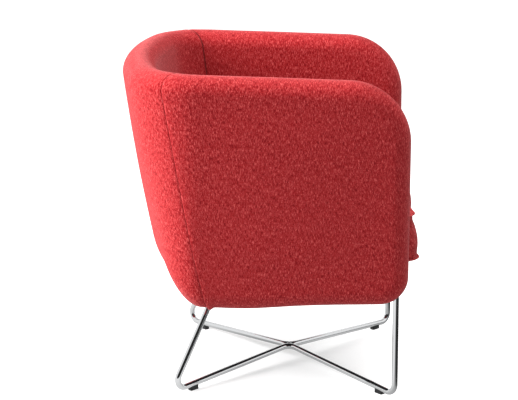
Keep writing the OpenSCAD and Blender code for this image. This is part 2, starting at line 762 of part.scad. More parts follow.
module leg_holes() {
    for (side = [-1, 1]) for (front = [true, false])
        rod_between(leg_point(side, front, underside_rear - 20), leg_point(side, front, rail_bottom), rod_d + 2 * leg_clearance);
}

// Foam and covers of the padded wall
foam_rows = rim_rows + shoulder_rows + side_rows + foam_bottom_row;
function foam_low(s, side) = side < 0 ? inner_row_z(s, foam_rows, cover_t) : outer_row_z(s, foam_rows, cover_t);
// The foam's slot holds the board. Ahead of the board it is only a shallow notch.
notch = 1;
slot_spare = 2.5;
slot_play = 0.2;
slot_lead = 5;
function slot_top(s) =
    s[4] < wall_r - 1 ? board_top(arm_at(s[4] + slot_lead)) + slot_spare
    : board_top(s) + (s[4] < arm_top_r - 1 ? slot_spare : 0);
function slot_low(s, side) = max(foam_low(s, side), rail_top);
function slot_corners(s, half, top) =
    [board_point(s, half, slot_low(s, 1)), board_point(s, half, top),
     board_point(s, -half, top), board_point(s, -half, slot_low(s, -1))];
function foam_section(s) =
    concat(wall_section(s, cover_t, foam_rows),
        s[4] < board_front - notch ? slot_corners(s, notch, slot_low(s, 1) + notch)
        : slot_corners(s, board_t / 2 + slot_play, slot_top(s)));
module foam_arm() {
    color("ivory")
        loft([for (s = arm_stations(cover_t)) foam_section(s)]);
}
module foam_arm_left() { foam_arm(); }
module foam_arm_right() { mirror([1, 0, 0]) foam_arm(); }
module foam_back() {
    color("ivory")
        loft([for (s = back_stations) foam_section(s)]);
}
module cover_arm() {
    color("firebrick") difference() {
        sheet([for (s = arm_stations(0)) wall_section(s, 0, half_rows)],
            [for (s = arm_stations(cover_t)) wall_section(s, cover_t, half_rows)], true);
        leg_holes();
    }
}
module cover_arm_left() { cover_arm(); }
module cover_arm_right() { mirror([1, 0, 0]) cover_arm(); }
module cover_back() {
    color("firebrick")
        sheet([for (s = back_stations) wall_section(s, 0, half_rows)],
            [for (s = back_stations) wall_section(s, cover_t, half_rows)], false);
}

// Cushion. Its outline follows the wall at the sides and the back and bows forward at the front.
cushion_inset = wall_r + cushion_gap + flange_w;
bow_steps = 3;
front_corner_steps = 4;
function cushion_top_z() = cushion_z + cushion_h;
side_station = arm_at(arm_top_r);
// Half of the outline's points as [kind, value]: 0 for the bow, 1 for the front corner, 2 for the wall
cushion_half = concat(
    [for (k = [0:bow_steps - 1]) [0, k / bow_steps]],
    [for (k = [0:front_corner_steps]) [1, 90 * k / front_corner_steps]],
    [[2, arm_at(lerp(arm_top_r, board_end, 0.5))]],
    [for (k = [0:corner_steps]) [2, corner_at(corner_turn * k / corner_steps)]],
    [for (turn = [zip_half_angle, zip_half_angle * 2 / 3, zip_half_angle / 3, 0]) [2, back_at(turn)]]);
function cushion_xy(point, z, grow) =
    let (half = wall_x - lean_in(side_station, z) - cushion_inset,
         bow_half = half - cushion_front_r,
         front = -overall_depth / 2 + flange_w + front_slope * (z - cushion_z) / cushion_h,
         t = point[1])
    point[0] == 0 ? [bow_half * t, front + front_bow * t * t - grow]
    : point[0] == 1 ? [bow_half + (cushion_front_r + grow) * sin(t),
                       front + front_bow + cushion_front_r - (cushion_front_r + grow) * cos(t)]
    : let (p = wall_point(t, grow - cushion_inset, z)) [p[0], p[1]];
function bulge_of(point) = point[0] == 2 ? side_bulge : front_bulge;
function cushion_ring(z, grow, share) =
    let (half = [for (c = cushion_half) cushion_xy(c, z, grow + share * bulge_of(c))],
         last = len(half) - 1)
    concat([for (p = half) [p[0], p[1], z]], [for (k = [last - 1:-1:1]) [-half[k][0], half[k][1], z]]);
cushion_points = 2 * len(cushion_half) - 2;

// Crown over the top seam, as rings that shrink towards the middle
crown_rings = [1, 0.94, 0.82, 0.62, 0.36];
crown_mid = [0, middle_y];
function crown_z(share) = cushion_crown * (1 - pow(share, 3));
function crown_grid(low) =
    [for (share = crown_rings) [for (p = cushion_ring(cushion_top_z(), 0, 0))
        [lerp(crown_mid[0], p[0], share), lerp(crown_mid[1], p[1], share), p[2] - low + crown_z(share)]]];
function fan_faces(first, m, tip) = [for (j = [0:m - 1]) [first + j, first + (j + 1) % m, tip]];
module cushion_top() {
    m = cushion_points;
    n = len(crown_rings);
    size = n * m + 1;
    tip = [crown_mid[0], crown_mid[1], cushion_top_z() + cushion_crown];
    color("firebrick") polyhedron(
        points = concat(flat(crown_grid(0)), [tip], flat(crown_grid(cover_t)), [tip - [0, 0, cover_t]]),
        faces = concat(turned(ring_faces(n, m, 0)), turned(fan_faces((n - 1) * m, m, n * m)),
            ring_faces(n, m, size), fan_faces(size + (n - 1) * m, m, size + n * m),
            [for (j = [0:m - 1]) for (f = quad(j, (j + 1) % m, size + (j + 1) % m, size + j)) f]));
}

// Boxing between the two panels, and the foam inside
boxing_rows = [0, 0.2, 0.42, 0.58, 0.8, 1];
function boxing_z(v) = lerp(cushion_z + cover_t, cushion_top_z() - cover_t, v);
function boxing_ring(v, grow) = cushion_ring(boxing_z(v), grow, sin(180 * v));
module cushion_boxing() {
    m = cushion_points;
    n = len(boxing_rows);
    outer = [for (v = boxing_rows) boxing_ring(v, 0)];
    inner = [for (v = boxing_rows) boxing_ring(v, -cover_t)];
    size = n * m;
    color("firebrick") polyhedron(
        points = concat(flat(outer), flat(inner)),
        faces = turned(concat(ring_faces(n, m, 0), turned(ring_faces(n, m, size)),
            [for (j = [0:m - 1]) for (f = quad(j, size + j, size + (j + 1) % m, (j + 1) % m)) f],
            [for (j = [0:m - 1]) let (a = (n - 1) * m + j, b = (n - 1) * m + (j + 1) % m)
                for (f = quad(a, b, size + b, size + a)) f])));
}
module cushion_core() {
    m = cushion_points;
    sides = [for (v = boxing_rows) boxing_ring(v, -cover_t)];
    crown = [for (k = [1:len(crown_rings) - 1]) crown_grid(cover_t)[k]];
    rings = concat(sides, crown);
    n = len(rings);
    color("ivory") polyhedron(
        points = concat(flat(rings), [[crown_mid[0], crown_mid[1], cushion_top_z() - cover_t + cushion_crown]]),
        faces = turned(concat(ring_faces(n, m, 0), fan_faces((n - 1) * m, m, n * m), [[for (j = [m - 1:-1:0]) j]])));
}
module cushion_bottom() {
    color("firebrick") translate([0, 0, cushion_z])
        linear_extrude(cover_t)
            polygon([for (p = cushion_ring(cushion_z, 0, 0)) [p[0], p[1]]]);
}
// Sewn edges that stand out round both panels
module sewn_edge(z, low) {
    color("brown") translate([0, 0, low])
        linear_extrude(cover_t + flange_rise) difference() {
            polygon([for (p = cushion_ring(z, flange_w, 0)) [p[0], p[1]]]);
            polygon([for (p = cushion_ring(z, 0, 0)) [p[0], p[1]]]);
        }
}
module cushion_edge_top() { sewn_edge(cushion_top_z(), cushion_top_z() - cover_t); }
module cushion_edge_bottom() { sewn_edge(cushion_z, cushion_z - flange_rise); }

// Zip in the boxing at the back
zip_rows = [2, 3];
zip_stations = [for (k = [-3:3]) back_at(zip_half_angle * k / 3)];
function zip_point(s, row, grow) =
    let (v = boxing_rows[row]) wall_point(s, grow - cushion_inset + side_bulge * sin(180 * v), boxing_z(v));
module zip_tape() {
    color("darkred") loft([for (s = zip_stations)
        [zip_point(s, zip_rows[0], 0), zip_point(s, zip_rows[0], zip_tape_t),
         zip_point(s, zip_rows[1], zip_tape_t), zip_point(s, zip_rows[1], 0)]]);
}
slider_turn = zip_half_angle - 2;
module zip_slider() {
    upper = zip_point(back_at(0), zip_rows[1], zip_tape_t + seat_gap);
    lower = zip_point(back_at(0), zip_rows[0], zip_tape_t + seat_gap);
    lean = atan2(upper[1] - lower[1], upper[2] - lower[2]);
    middle = (upper + lower) / 2;
    color("silver") translate([0, back_axis_y, 0])
        rotate([0, 0, -slider_turn])
            translate([0, middle[1] - back_axis_y, middle[2]])
                rotate([-lean, 0, 0])
                    translate([-slider_l / 2, 0, -slider_h / 2])
                        cube([slider_l, slider_t, slider_h]);
}

rod_right();
rod_left();
rod_weld();
glide_front_right();
glide_front_left();
glide_rear_right();
glide_rear_left();
leg_plate_front_right();
leg_plate_front_left();
leg_plate_rear_right();
leg_plate_rear_left();
base_bolts();
tee_nuts();
side_board_right();
side_board_left();
back_board();
front_rail();
rear_rail();
side_rail_right();
side_rail_left();
leg_cross_rail();
corner_blocks();
frame_screws();
straps_lengthwise();
straps_crosswise();
deck_pad();
deck_cloth();
front_rail_pad();
front_rail_cover();
dust_cloth();
foam_arm_right();
foam_arm_left();
foam_back();
cover_arm_right();
cover_arm_left();
cover_back();
cushion_core();
cushion_top();
cushion_boxing();
cushion_bottom();
cushion_edge_top();
cushion_edge_bottom();
zip_tape();
zip_slider();
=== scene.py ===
import bpy
import math
from collections import namedtuple
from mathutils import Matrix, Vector, noise
from mathutils.kdtree import KDTree


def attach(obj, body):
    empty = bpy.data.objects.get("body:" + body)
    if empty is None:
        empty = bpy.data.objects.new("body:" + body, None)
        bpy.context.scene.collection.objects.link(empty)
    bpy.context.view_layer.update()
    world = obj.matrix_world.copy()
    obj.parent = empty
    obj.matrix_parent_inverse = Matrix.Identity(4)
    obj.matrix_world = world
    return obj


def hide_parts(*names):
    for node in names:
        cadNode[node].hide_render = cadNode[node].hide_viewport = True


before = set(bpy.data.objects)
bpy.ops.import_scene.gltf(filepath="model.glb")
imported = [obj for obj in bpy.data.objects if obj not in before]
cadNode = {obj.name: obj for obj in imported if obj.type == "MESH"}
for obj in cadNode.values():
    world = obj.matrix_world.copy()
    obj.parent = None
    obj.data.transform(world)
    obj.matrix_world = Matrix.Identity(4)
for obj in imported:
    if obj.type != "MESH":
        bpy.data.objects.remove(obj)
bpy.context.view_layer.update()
bpy.ops.object.select_all(action="DESELECT")
mm = 0.001
print("frame loaded")


# Shader nodes

white = (1, 1, 1, 1)


def newMaterial(name):
    made = bpy.data.materials.new(name)
    made.use_nodes = True
    made.node_tree.nodes.clear()
    return made


def fed(tree, node, inputs):
    # An input is a value, or the output of another node
    for key, value in dict(inputs).items():
        if isinstance(value, bpy.types.NodeSocket):
            tree.links.new(value, node.inputs[key])
        else:
            node.inputs[key].default_value = value
    return node


def addNode(tree, kind, inputs=(), **settings):
    made = tree.nodes.new(kind)
    for key, value in settings.items():
        setattr(made, key, value)
    return fed(tree, made, inputs)


def mathNode(tree, operation, first, second):
    return addNode(tree, "ShaderNodeMath", {0: first, 1: second}, operation=operation).outputs[0]


def weighted(tree, *pairs):
    # Sum of values, each times its own share
    total = mathNode(tree, "MULTIPLY", *pairs[0])
    for value, share in pairs[1:]:
        total = mathNode(tree, "ADD", total, mathNode(tree, "MULTIPLY", value, share))
    return total


def ranged(tree, value, span, result=(0.0, 1.0), kind="LINEAR"):
    # Turns a span of values into another, and holds it at both ends
    return addNode(tree, "ShaderNodeMapRange", {
        "Value": value, "From Min": span[0], "From Max": span[1], "To Min": result[0], "To Max": result[1],
    }, interpolation_type=kind).outputs["Result"]


def softly(tree, value, span):
    return ranged(tree, value, span, kind="SMOOTHSTEP")


def mixColours(tree, factor, first, second):
    made = addNode(tree, "ShaderNodeMix", {"Factor": factor}, data_type="RGBA")
    a, b = [place for place, socket in enumerate(made.inputs) if socket.type == "RGBA"]
    fed(tree, made, {a: first, b: second})
    return [socket for socket in made.outputs if socket.type == "RGBA"][0]


# Camera, floor and light

view = {
    "place": (-4.6406, -0.1191, 1.6179),
    "target": (0, 0.030, 0.400),
    "lens": 139.0,
    "sensor": 36,
    "farEnd": 60,
}
studio = {
    "floorSize": 24,
    "floorColour": (0.48, 0.48, 0.48, 1),
    # Painted shadow: the floor's glow to the camera is lower under the chair
    "floorGlowWithPaintedShadow": (0.40, 0.92),
    "paintedShadowReach": (0.10, 0.38),
    "paintedShadowMiddle": (0.0, 0.03, 0.0),
    # Painted reflection of the floor in polished metal: a painted shadow under the chair, and dark in front
    # of it
    "paintedShadowMirrored": 0.45,
    "paintedReflectionFront": 0.03,
    # Painted reflection: how bright polished metal sees the surroundings, and how dark behind the camera
    "paintedReflectionRoom": 0.85,
    "paintedReflectionBehind": 0.02,
    "paintedReflectionFrontEdge": (-0.42, -0.15),
    "worldLight": 0.29,
    # Painted reflection: the way that looks dark to polished metal, and the span over which it darkens
    "paintedReflectionDarkWay": (-0.96, -0.05, 0.27),
    "paintedReflectionDarkEdge": (0.63, 0.73),
    "lampTarget": (0, 0, 0.45),
}
lamps = {
    "key": {"place": (-0.50, 3.15, 1.75), "size": 2.5, "power": 350},
    "top": {"place": (-0.2, -0.3, 3.4), "size": 2.4, "power": 105},
    "front": {"place": (-1.0, -2.8, 2.2), "size": 2.4, "power": 28},
}


def aimedAt(place, target):
    return (Vector(target) - Vector(place)).to_track_quat("-Z", "Y").to_euler()


def makeCamera():
    turn = aimedAt(view["place"], view["target"])
    bpy.ops.object.camera_add(location=view["place"], rotation=turn)
    camera = bpy.context.object
    camera.data.lens = view["lens"]
    camera.data.sensor_width = view["sensor"]
    camera.data.clip_end = view["farEnd"]
    bpy.context.scene.camera = camera


def bright(tree, kind, strength):
    return addNode(tree, kind, {"Color": white, "Strength": strength}).outputs[0]


def floorMaterial():
    # White to the camera, with a painted shadow under the chair. Polished metal mirrors a painted
    # reflection of it instead: a painted shadow under the chair, and dark in front of it
    made = newMaterial("paleFloor")
    tree = made.node_tree
    path = addNode(tree, "ShaderNodeLightPath").outputs
    place = addNode(tree, "ShaderNodeTexCoord").outputs["Object"]
    forward = addNode(tree, "ShaderNodeSeparateXYZ", {0: place}).outputs["Y"]
    away = addNode(tree, "ShaderNodeVectorMath", {0: place, 1: studio["paintedShadowMiddle"]}, operation="DISTANCE")
    away = away.outputs["Value"]
    # Painted shadow: the glow that the camera sees is lowest near the middle under the chair
    level = ranged(tree, away, studio["paintedShadowReach"], studio["floorGlowWithPaintedShadow"])
    seen = mathNode(tree, "MULTIPLY", level, path["Is Camera Ray"])
    # Painted reflection: to glossy rays the floor is dark in front of the chair and carries a painted
    # shadow under it
    front = ranged(tree, forward, studio["paintedReflectionFrontEdge"], (studio["paintedReflectionFront"], studio["paintedReflectionRoom"]))
    under = ranged(tree, away, studio["paintedShadowReach"], (studio["paintedShadowMirrored"], 1.0))
    shaded = mathNode(tree, "MULTIPLY", front, under)
    matte = addNode(tree, "ShaderNodeBsdfDiffuse", {"Color": studio["floorColour"]})
    glow = bright(tree, "ShaderNodeEmission", seen)
    both = addNode(tree, "ShaderNodeAddShader", {0: matte.outputs[0], 1: glow})
    mirrored = bright(tree, "ShaderNodeEmission", shaded)
    mix = addNode(tree, "ShaderNodeMixShader", {0: path["Is Glossy Ray"], 1: both.outputs[0], 2: mirrored})
    addNode(tree, "ShaderNodeOutputMaterial", {"Surface": mix.outputs[0]})
    return made


def makeFloor():
    bpy.ops.mesh.primitive_plane_add(size=studio["floorSize"], location=(0, 0, 0))
    floor = bpy.context.object
    floor.name = "floor"
    floor.data.materials.append(floorMaterial())


def makeWorld():
    # White to the camera. Polished metal mirrors a painted reflection instead, dark behind the camera,
    # which it shows as a dark line
    world = bpy.data.worlds.new("studioWorld")
    world.use_nodes = True
    bpy.context.scene.world = world
    tree = world.node_tree
    tree.nodes.clear()
    path = addNode(tree, "ShaderNodeLightPath").outputs
    way = addNode(tree, "ShaderNodeTexCoord").outputs["Generated"]
    facing = addNode(tree, "ShaderNodeVectorMath", {0: way, 1: studio["paintedReflectionDarkWay"]}, operation="DOT_PRODUCT")
    # Painted reflection: brightness that only glossy rays see
    room = ranged(tree, facing.outputs["Value"], studio["paintedReflectionDarkEdge"],
                  (studio["paintedReflectionRoom"], studio["paintedReflectionBehind"]))
    chosen = addNode(tree, "ShaderNodeMix", {"Factor": path["Is Glossy Ray"], "A": 1.0, "B": room})
    lit = bright(tree, "ShaderNodeBackground", studio["worldLight"])
    seen = bright(tree, "ShaderNodeBackground", chosen.outputs["Result"])
    anySeen = mathNode(tree, "MAXIMUM", path["Is Camera Ray"], path["Is Glossy Ray"])
    mix = addNode(tree, "ShaderNodeMixShader", {0: anySeen, 1: lit, 2: seen})
    addNode(tree, "ShaderNodeOutputWorld", {"Surface": mix.outputs[0]})


def makeLight(name, lamp):
    turn = aimedAt(lamp["place"], studio["lampTarget"])
    bpy.ops.object.light_add(type="AREA", location=lamp["place"], rotation=turn)
    light = bpy.context.object
    light.name = name + "Light"
    light.data.size = lamp["size"]
    light.data.energy = lamp["power"]
    light.visible_glossy = False


makeCamera()
makeFloor()
makeWorld()
for lampName, lamp in lamps.items():
    makeLight(lampName, lamp)
bpy.context.scene.view_settings.view_transform = "Standard"
print("camera, floor and lights made")


# Shared effects: woven cloth, wood grain and fine scratches

# A noise is its stretch along each axis, its detail and its roughness
weave = {
    "warpPitch": 185,
    "weftPitch": 150,
    "wander": {"Scale": 1.0, "Distortion": 1.4, "Detail": 1.0, "Detail Scale": 1.6},
    "crossing": ((450, 120, 450), 1.0, 0.5),
    "crossingSpan": (0.42, 0.58),
    "fine": ((1100, 300, 1100), 2.0, 0.6),
    "fineShare": 0.30,
    "dashes": ((800, 130, 800), 2.0, 0.62),
    "dashShare": 0.48,
    "broad": ((230, 60, 230), 3.0, 0.6),
    "broadShare": 0.22,
    "darkSpan": (0.36, 0.52),
    "lightSpan": (0.50, 0.68),
    # Painted shade in the valleys between the threads
    "paintedValleyShadeSpan": (0.0, 0.55),
    "paintedValleyShadeShare": 0.28,
    "noiseMiddle": 0.5,
    # Painted seam shade: its share and its dark colour
    "paintedSeamShadeShare": 0.85,
    "paintedSeamShadeColour": (0.035, 0.002, 0.003, 1),
    "threadHeight": 0.7,
    "fibreHeight": 0.9,
}
wood = {
    "rings": {"Scale": 7.0, "Distortion": 6.0, "Detail": 3.0, "Detail Scale": 1.2},
    "ringStretch": (3, 3, 14),
    "ringShare": 0.6,
    "pores": ((40, 40, 900), 3.0, 0.7),
    "poreShare": 0.5,
    "lightSpan": (0.2, 0.95),
    "relief": 0.0004,
    "bump": 0.4,
    "roughness": 0.62,
}
scratch = {
    "long": ((60, 60, 1600), 3.0, 0.7),
    "cloud": ((18, 18, 18), 3.0, 0.6),
    "span": (0.1, 0.5),
    "bump": 0.15,
}


def newGroup(name, ins, outs):
    group = bpy.data.node_groups.new(name, "ShaderNodeTree")
    for way, sockets in (("INPUT", ins), ("OUTPUT", outs)):
        for label, kind in sockets.items():
            group.interface.new_socket(label, in_out=way, socket_type="NodeSocket" + kind)
    return group, addNode(group, "NodeGroupInput").outputs, addNode(group, "NodeGroupOutput")


def stretched(tree, vector, scale):
    return addNode(tree, "ShaderNodeMapping", {"Vector": vector, "Scale": scale}).outputs[0]


def noiseNode(tree, vector, stretch, detail, rough):
    return addNode(tree, "ShaderNodeTexNoise", {
        "Vector": stretched(tree, vector, stretch), "Scale": 1.0, "Detail": detail, "Roughness": rough,
    }).outputs["Fac"]


def waveNode(tree, vector, stretch, axis, waves):
    return addNode(tree, "ShaderNodeTexWave", {
        **waves, "Vector": stretched(tree, vector, stretch)}, bands_direction=axis).outputs["Fac"]


def threads(tree, vector, axis, pitch):
    # One set of threads: rounded ridges across an axis, nudged by noise so that they wander
    return waveNode(tree, vector, (pitch, pitch, pitch), axis, weave["wander"])


def clothGroup():
    # Vector is in metres along the cloth, x across and y along the yarns' grain
    group, given, result = newGroup("wovenCloth", {
        "Vector": "Vector", "Dark": "Color", "Middle": "Color", "Light": "Color",
        "Fleck": "Float", "Pitch": "Float", "PaintedSeamShade": "Float",
    }, {"Color": "Color", "Height": "Float"})
    vector = addNode(group, "ShaderNodeVectorMath", {
        0: given["Vector"], "Scale": given["Pitch"]}, operation="SCALE").outputs[0]
    warp = threads(group, vector, "X", weave["warpPitch"])
    weft = threads(group, vector, "Y", weave["weftPitch"])
    crossing = noiseNode(group, vector, *weave["crossing"])
    over = softly(group, crossing, weave["crossingSpan"])
    lift = addNode(group, "ShaderNodeMix", {"Factor": over, "A": warp, "B": weft}).outputs["Result"]
    # Light and dark fibres spun together show as short upright flecks of several sizes
    fine = noiseNode(group, vector, *weave["fine"])
    dashes = noiseNode(group, vector, *weave["dashes"])
    broad = noiseNode(group, vector, *weave["broad"])
    blend = weighted(group, (fine, weave["fineShare"]), (dashes, weave["dashShare"]),
                     (broad, weave["broadShare"]))
    offMiddle = mathNode(group, "SUBTRACT", blend, weave["noiseMiddle"])
    spread = mathNode(group, "MULTIPLY", offMiddle, given["Fleck"])
    centred = mathNode(group, "ADD", spread, weave["noiseMiddle"])
    lower = mixColours(group, softly(group, centred, weave["darkSpan"]), given["Dark"], given["Middle"])
    colour = mixColours(group, softly(group, centred, weave["lightSpan"]), lower, given["Light"])
    # Painted shade: the colour darkens in the valleys between raised threads
    paintedValleyShade = mixColours(group, softly(group, lift, weave["paintedValleyShadeSpan"]), given["Dark"], colour)
    shaded = mixColours(group, weave["paintedValleyShadeShare"], colour, paintedValleyShade)
    # Painted shade: the cloth is darkened where it turns down into a seam
    sunk = mathNode(group, "MULTIPLY", given["PaintedSeamShade"], weave["paintedSeamShadeShare"])
    fed(group, result, {
        "Color": mixColours(group, sunk, shaded, weave["paintedSeamShadeColour"]),
        "Height": weighted(group, (lift, weave["threadHeight"]), (fine, weave["fibreHeight"]))})
    return group


def woodGroup():
    group, given, result = newGroup("woodGrain", {
        "Vector": "Vector", "Dark": "Color", "Light": "Color"}, {"Color": "Color", "Height": "Float"})
    rings = waveNode(group, given["Vector"], wood["ringStretch"], "Z", wood["rings"])
    pores = noiseNode(group, given["Vector"], *wood["pores"])
    grain = weighted(group, (rings, wood["ringShare"]), (pores, wood["poreShare"]))
    lightness = ranged(group, grain, wood["lightSpan"])
    fed(group, result, {
        "Color": mixColours(group, lightness, given["Dark"], given["Light"]), "Height": grain})
    return group


def scratchGroup():
    group, given, result = newGroup("fineScratches", {
        "Vector": "Vector", "Low": "Float", "High": "Float"}, {"Roughness": "Float", "Height": "Float"})
    long = noiseNode(group, given["Vector"], *scratch["long"])
    cloud = noiseNode(group, given["Vector"], *scratch["cloud"])
    mask = mathNode(group, "MULTIPLY", long, cloud)
    rough = ranged(group, mask, scratch["span"], (given["Low"], given["High"]))
    fed(group, result, {"Roughness": rough, "Height": long})
    return group


wovenCloth = clothGroup()
woodGrain = woodGroup()
fineScratches = scratchGroup()


# Materials

redWool = {
    "dark": (0.170, 0.003, 0.006, 1),
    "middle": (0.355, 0.014, 0.017, 1),
    "light": (0.660, 0.105, 0.102, 1),
    "fleck": 1.6,
    "pitch": 1.0,
    "relief": 0.0003,
    "bump": 0.7,
    "roughness": 0.92,
    "specular": 0.18,
    "sheen": 0.25,
    "sheenRoughness": 0.45,
    "sheenTint": (1.0, 0.48, 0.48, 1),
    "mapped": True,
}


def recoloured(cloth, **changes):
    return {**cloth, **changes}


lining = recoloured(
    redWool, dark=(0.010, 0.010, 0.011, 1), middle=(0.022, 0.022, 0.024, 1), light=(0.045, 0.045, 0.048, 1),
    fleck=0.8, pitch=1.6, relief=0.0004, sheen=0.10, sheenTint=(0.8, 0.8, 0.85, 1), mapped=False)
webbing = recoloured(lining, light=(0.10, 0.10, 0.11, 1), pitch=0.6, relief=0.0009)
foam = recoloured(
    lining, dark=(0.62, 0.55, 0.40, 1), middle=(0.78, 0.72, 0.58, 1), light=(0.86, 0.81, 0.68, 1),
    pitch=0.8)
zipCloth = recoloured(
    lining, dark=(0.10, 0.006, 0.010, 1), middle=(0.20, 0.014, 0.020, 1), light=(0.30, 0.03, 0.035, 1),
    pitch=2.0)


def surfaceMaterial(name, group, look, relief, bump, surface, mapped=False):
    # The effect gives the relief, and the colour or the roughness with it
    made = newMaterial(name)
    tree = made.node_tree
    if mapped:
        vector = addNode(tree, "ShaderNodeUVMap", uv_map="grain").outputs[0]
    else:
        vector = addNode(tree, "ShaderNodeTexCoord").outputs["Object"]
    effect = addNode(tree, "ShaderNodeGroup", {"Vector": vector, **look}, node_tree=group)
    # Painted seam shade, where the mesh carries it
    if "PaintedSeamShade" in effect.inputs:
        paintedSeamShade = addNode(tree, "ShaderNodeAttribute", attribute_name="paintedSeamShade")
        fed(tree, effect, {"PaintedSeamShade": paintedSeamShade.outputs["Fac"]})
    raised = addNode(tree, "ShaderNodeBump", {
        "Distance": relief, "Strength": bump, "Height": effect.outputs["Height"]})
    shader = addNode(tree, "ShaderNodeBsdfPrincipled", {**surface, "Normal": raised.outputs[0]})
    for label, socket in (("Color", "Base Color"), ("Roughness", "Roughness")):
        if label in effect.outputs:
            fed(tree, shader, {socket: effect.outputs[label]})
    addNode(tree, "ShaderNodeOutputMaterial", {"Surface": shader.outputs[0]})
    return made


def clothMaterial(name, cloth):
    look = {label: cloth[label.lower()] for label in ("Dark", "Middle", "Light", "Fleck", "Pitch")}
    return surfaceMaterial(name, wovenCloth, look, cloth["relief"], cloth["bump"], {
        "Roughness": cloth["roughness"], "Specular IOR Level": cloth["specular"],
        "Sheen Weight": cloth["sheen"], "Sheen Roughness": cloth["sheenRoughness"],
        "Sheen Tint": cloth["sheenTint"]}, cloth["mapped"])


def woodMaterial(name, dark, light):
    return surfaceMaterial(name, woodGrain, {"Dark": dark, "Light": light}, wood["relief"], wood["bump"], {
        "Roughness": wood["roughness"]})


def metalMaterial(name, colour, rough, relief, metallic=1.0):
    look = {"Low": rough[0], "High": rough[1]}
    return surfaceMaterial(name, fineScratches, look, relief, scratch["bump"], {
        "Base Color": colour, "Metallic": metallic})


material = {
    "wool": clothMaterial("redWool", redWool),
    "lining": clothMaterial("blackLining", lining),
    "webbing": clothMaterial("elasticWebbing", webbing),
    "foam": clothMaterial("paleFoam", foam),
    "zipTape": clothMaterial("zipTape", zipCloth),
    "chrome": metalMaterial("polishedChrome", (0.86, 0.87, 0.88, 1), rough=(0.03, 0.07), relief=0.00002),
    "weld": metalMaterial("chromedWeld", (0.80, 0.81, 0.82, 1), rough=(0.08, 0.22), relief=0.0002),
    "steel": metalMaterial("satinSteel", (0.42, 0.42, 0.44, 1), rough=(0.32, 0.50), relief=0.0002),
    "zinc": metalMaterial("zincPlate", (0.62, 0.62, 0.60, 1), rough=(0.25, 0.42), relief=0.0001),
    "glide": metalMaterial(
        "blackPlastic", (0.014, 0.014, 0.015, 1), rough=(0.45, 0.62), relief=0.0002, metallic=0.0),
    "plywood": woodMaterial("birchPlywood", dark=(0.48, 0.33, 0.18, 1), light=(0.76, 0.60, 0.40, 1)),
    "timber": woodMaterial("beechTimber", dark=(0.40, 0.24, 0.13, 1), light=(0.66, 0.46, 0.28, 1)),
}
print("materials made")


# The padded wall's shape, in millimetres

shell = {
    "width": 666,
    "depth": 696,
    "backHeight": 766,
    "armHeight": 748,
    "overhang": 29,
    "wall": 78,
    "cornerRadius": 128,
    "backHalfAngle": 16,
    "armLean": 3.5,
    "backLeanTop": 7,
    "backLeanBottom": 13.5,
    "armTopRadius": 138,
    "armBottomRadius": 65,
    "backBottomRadius": 120,
    "undersideFront": 228,
    "undersideRear": 215,
    "seamPlace": -73.5,
    "seamSlopeOutside": 0.167,
    "seamSlopeInside": 0.092,
    "middleY": -60,
    "innerHem": 303.5,
    "railSetback": 52,
    "clothThickness": 2,
    "railSlack": 1,
    "seamGuess": 20,
    "seamRounds": 4,
}
halfWall = shell["wall"] / 2
wallX = shell["width"] / 2 - halfWall
cornerTurn = 90 - shell["backHalfAngle"]
cornerX = wallX - shell["cornerRadius"]
backY = shell["depth"] / 2 - halfWall
armFrontY = shell["overhang"] - shell["depth"] / 2


def sine(degrees):
    return math.sin(math.radians(degrees))


def cosine(degrees):
    return math.cos(math.radians(degrees))


def tangent(degrees):
    return math.tan(math.radians(degrees))


def between(a, b, share):
    return a + (b - a) * share


def spaced(start, end, step):
    count = max(1, round(abs(end - start) / step))
    return [between(start, end, k / count) for k in range(count + 1)]


def root(value):
    return math.sqrt(max(value, 0))


backRadius = (cornerX + shell["cornerRadius"] * cosine(cornerTurn)) / sine(shell["backHalfAngle"])
backAxisY = backY - backRadius
cornerY = backAxisY + backRadius * cosine(shell["backHalfAngle"]) - shell["cornerRadius"] * sine(cornerTurn)
# Stands for a distance from the arm's front at which its rounding no longer matters
farBack = 10000


# A station on the wall's middle line is its place, the way out, its distance from the arm's front,
# and a blend from 0 along the arms to 1 at the back
wallStation = namedtuple("wallStation", "x y outX outY fromFront blend")


def armAt(a):
    return wallStation(wallX, armFrontY + a, 1.0, 0.0, a, 0.0)


def cornerAt(turn):
    blend = sine(90 * turn / cornerTurn) ** 2
    radius = shell["cornerRadius"]
    x, y = cosine(turn), sine(turn)
    return wallStation(cornerX + radius * x, cornerY + radius * y, x, y, farBack, blend)


def bendAt(turn):
    # Below zero the path runs on straight along the arm
    if turn >= 0:
        return cornerAt(turn)
    return armAt(cornerY - armFrontY + math.radians(turn) * shell["cornerRadius"])


def seamTurn(z, offset, inner):
    # The seams lie in slanted planes on which y less x falls steadily below the rim
    slope = shell["seamSlopeInside"] if inner else shell["seamSlopeOutside"]
    place = shell["seamPlace"] - slope * max(shell["armHeight"] - z, 0)
    radius = shell["cornerRadius"] + offset
    reach = (place + cornerX - cornerY) / (radius * math.sqrt(2))
    if reach > -math.sqrt(0.5):
        return 45 + math.degrees(math.asin(reach))
    return math.degrees((place + wallX + offset - cornerY) / shell["cornerRadius"])


def backAt(turn):
    x, y = sine(turn), cosine(turn)
    return wallStation(backRadius * x, backAxisY + backRadius * y, x, y, farBack, 1.0)


def flipped(p):
    return Vector((-p.x, p.y, p.z))


def stationsFrom(start, sideStep, cornerStep, rearStep):
    # Stations from a distance behind the arm's front, round the corner, to the middle of the back
    stations = [armAt(a) for a in spaced(start, cornerY - armFrontY, sideStep)[:-1]]
    stations += [cornerAt(turn) for turn in spaced(0, cornerTurn, cornerStep)[:-1]]
    return stations + [backAt(turn) for turn in spaced(shell["backHalfAngle"], 0, rearStep)]


def aheadOfRail(s):
    return s.fromFront < shell["railSetback"] - shell["railSlack"]


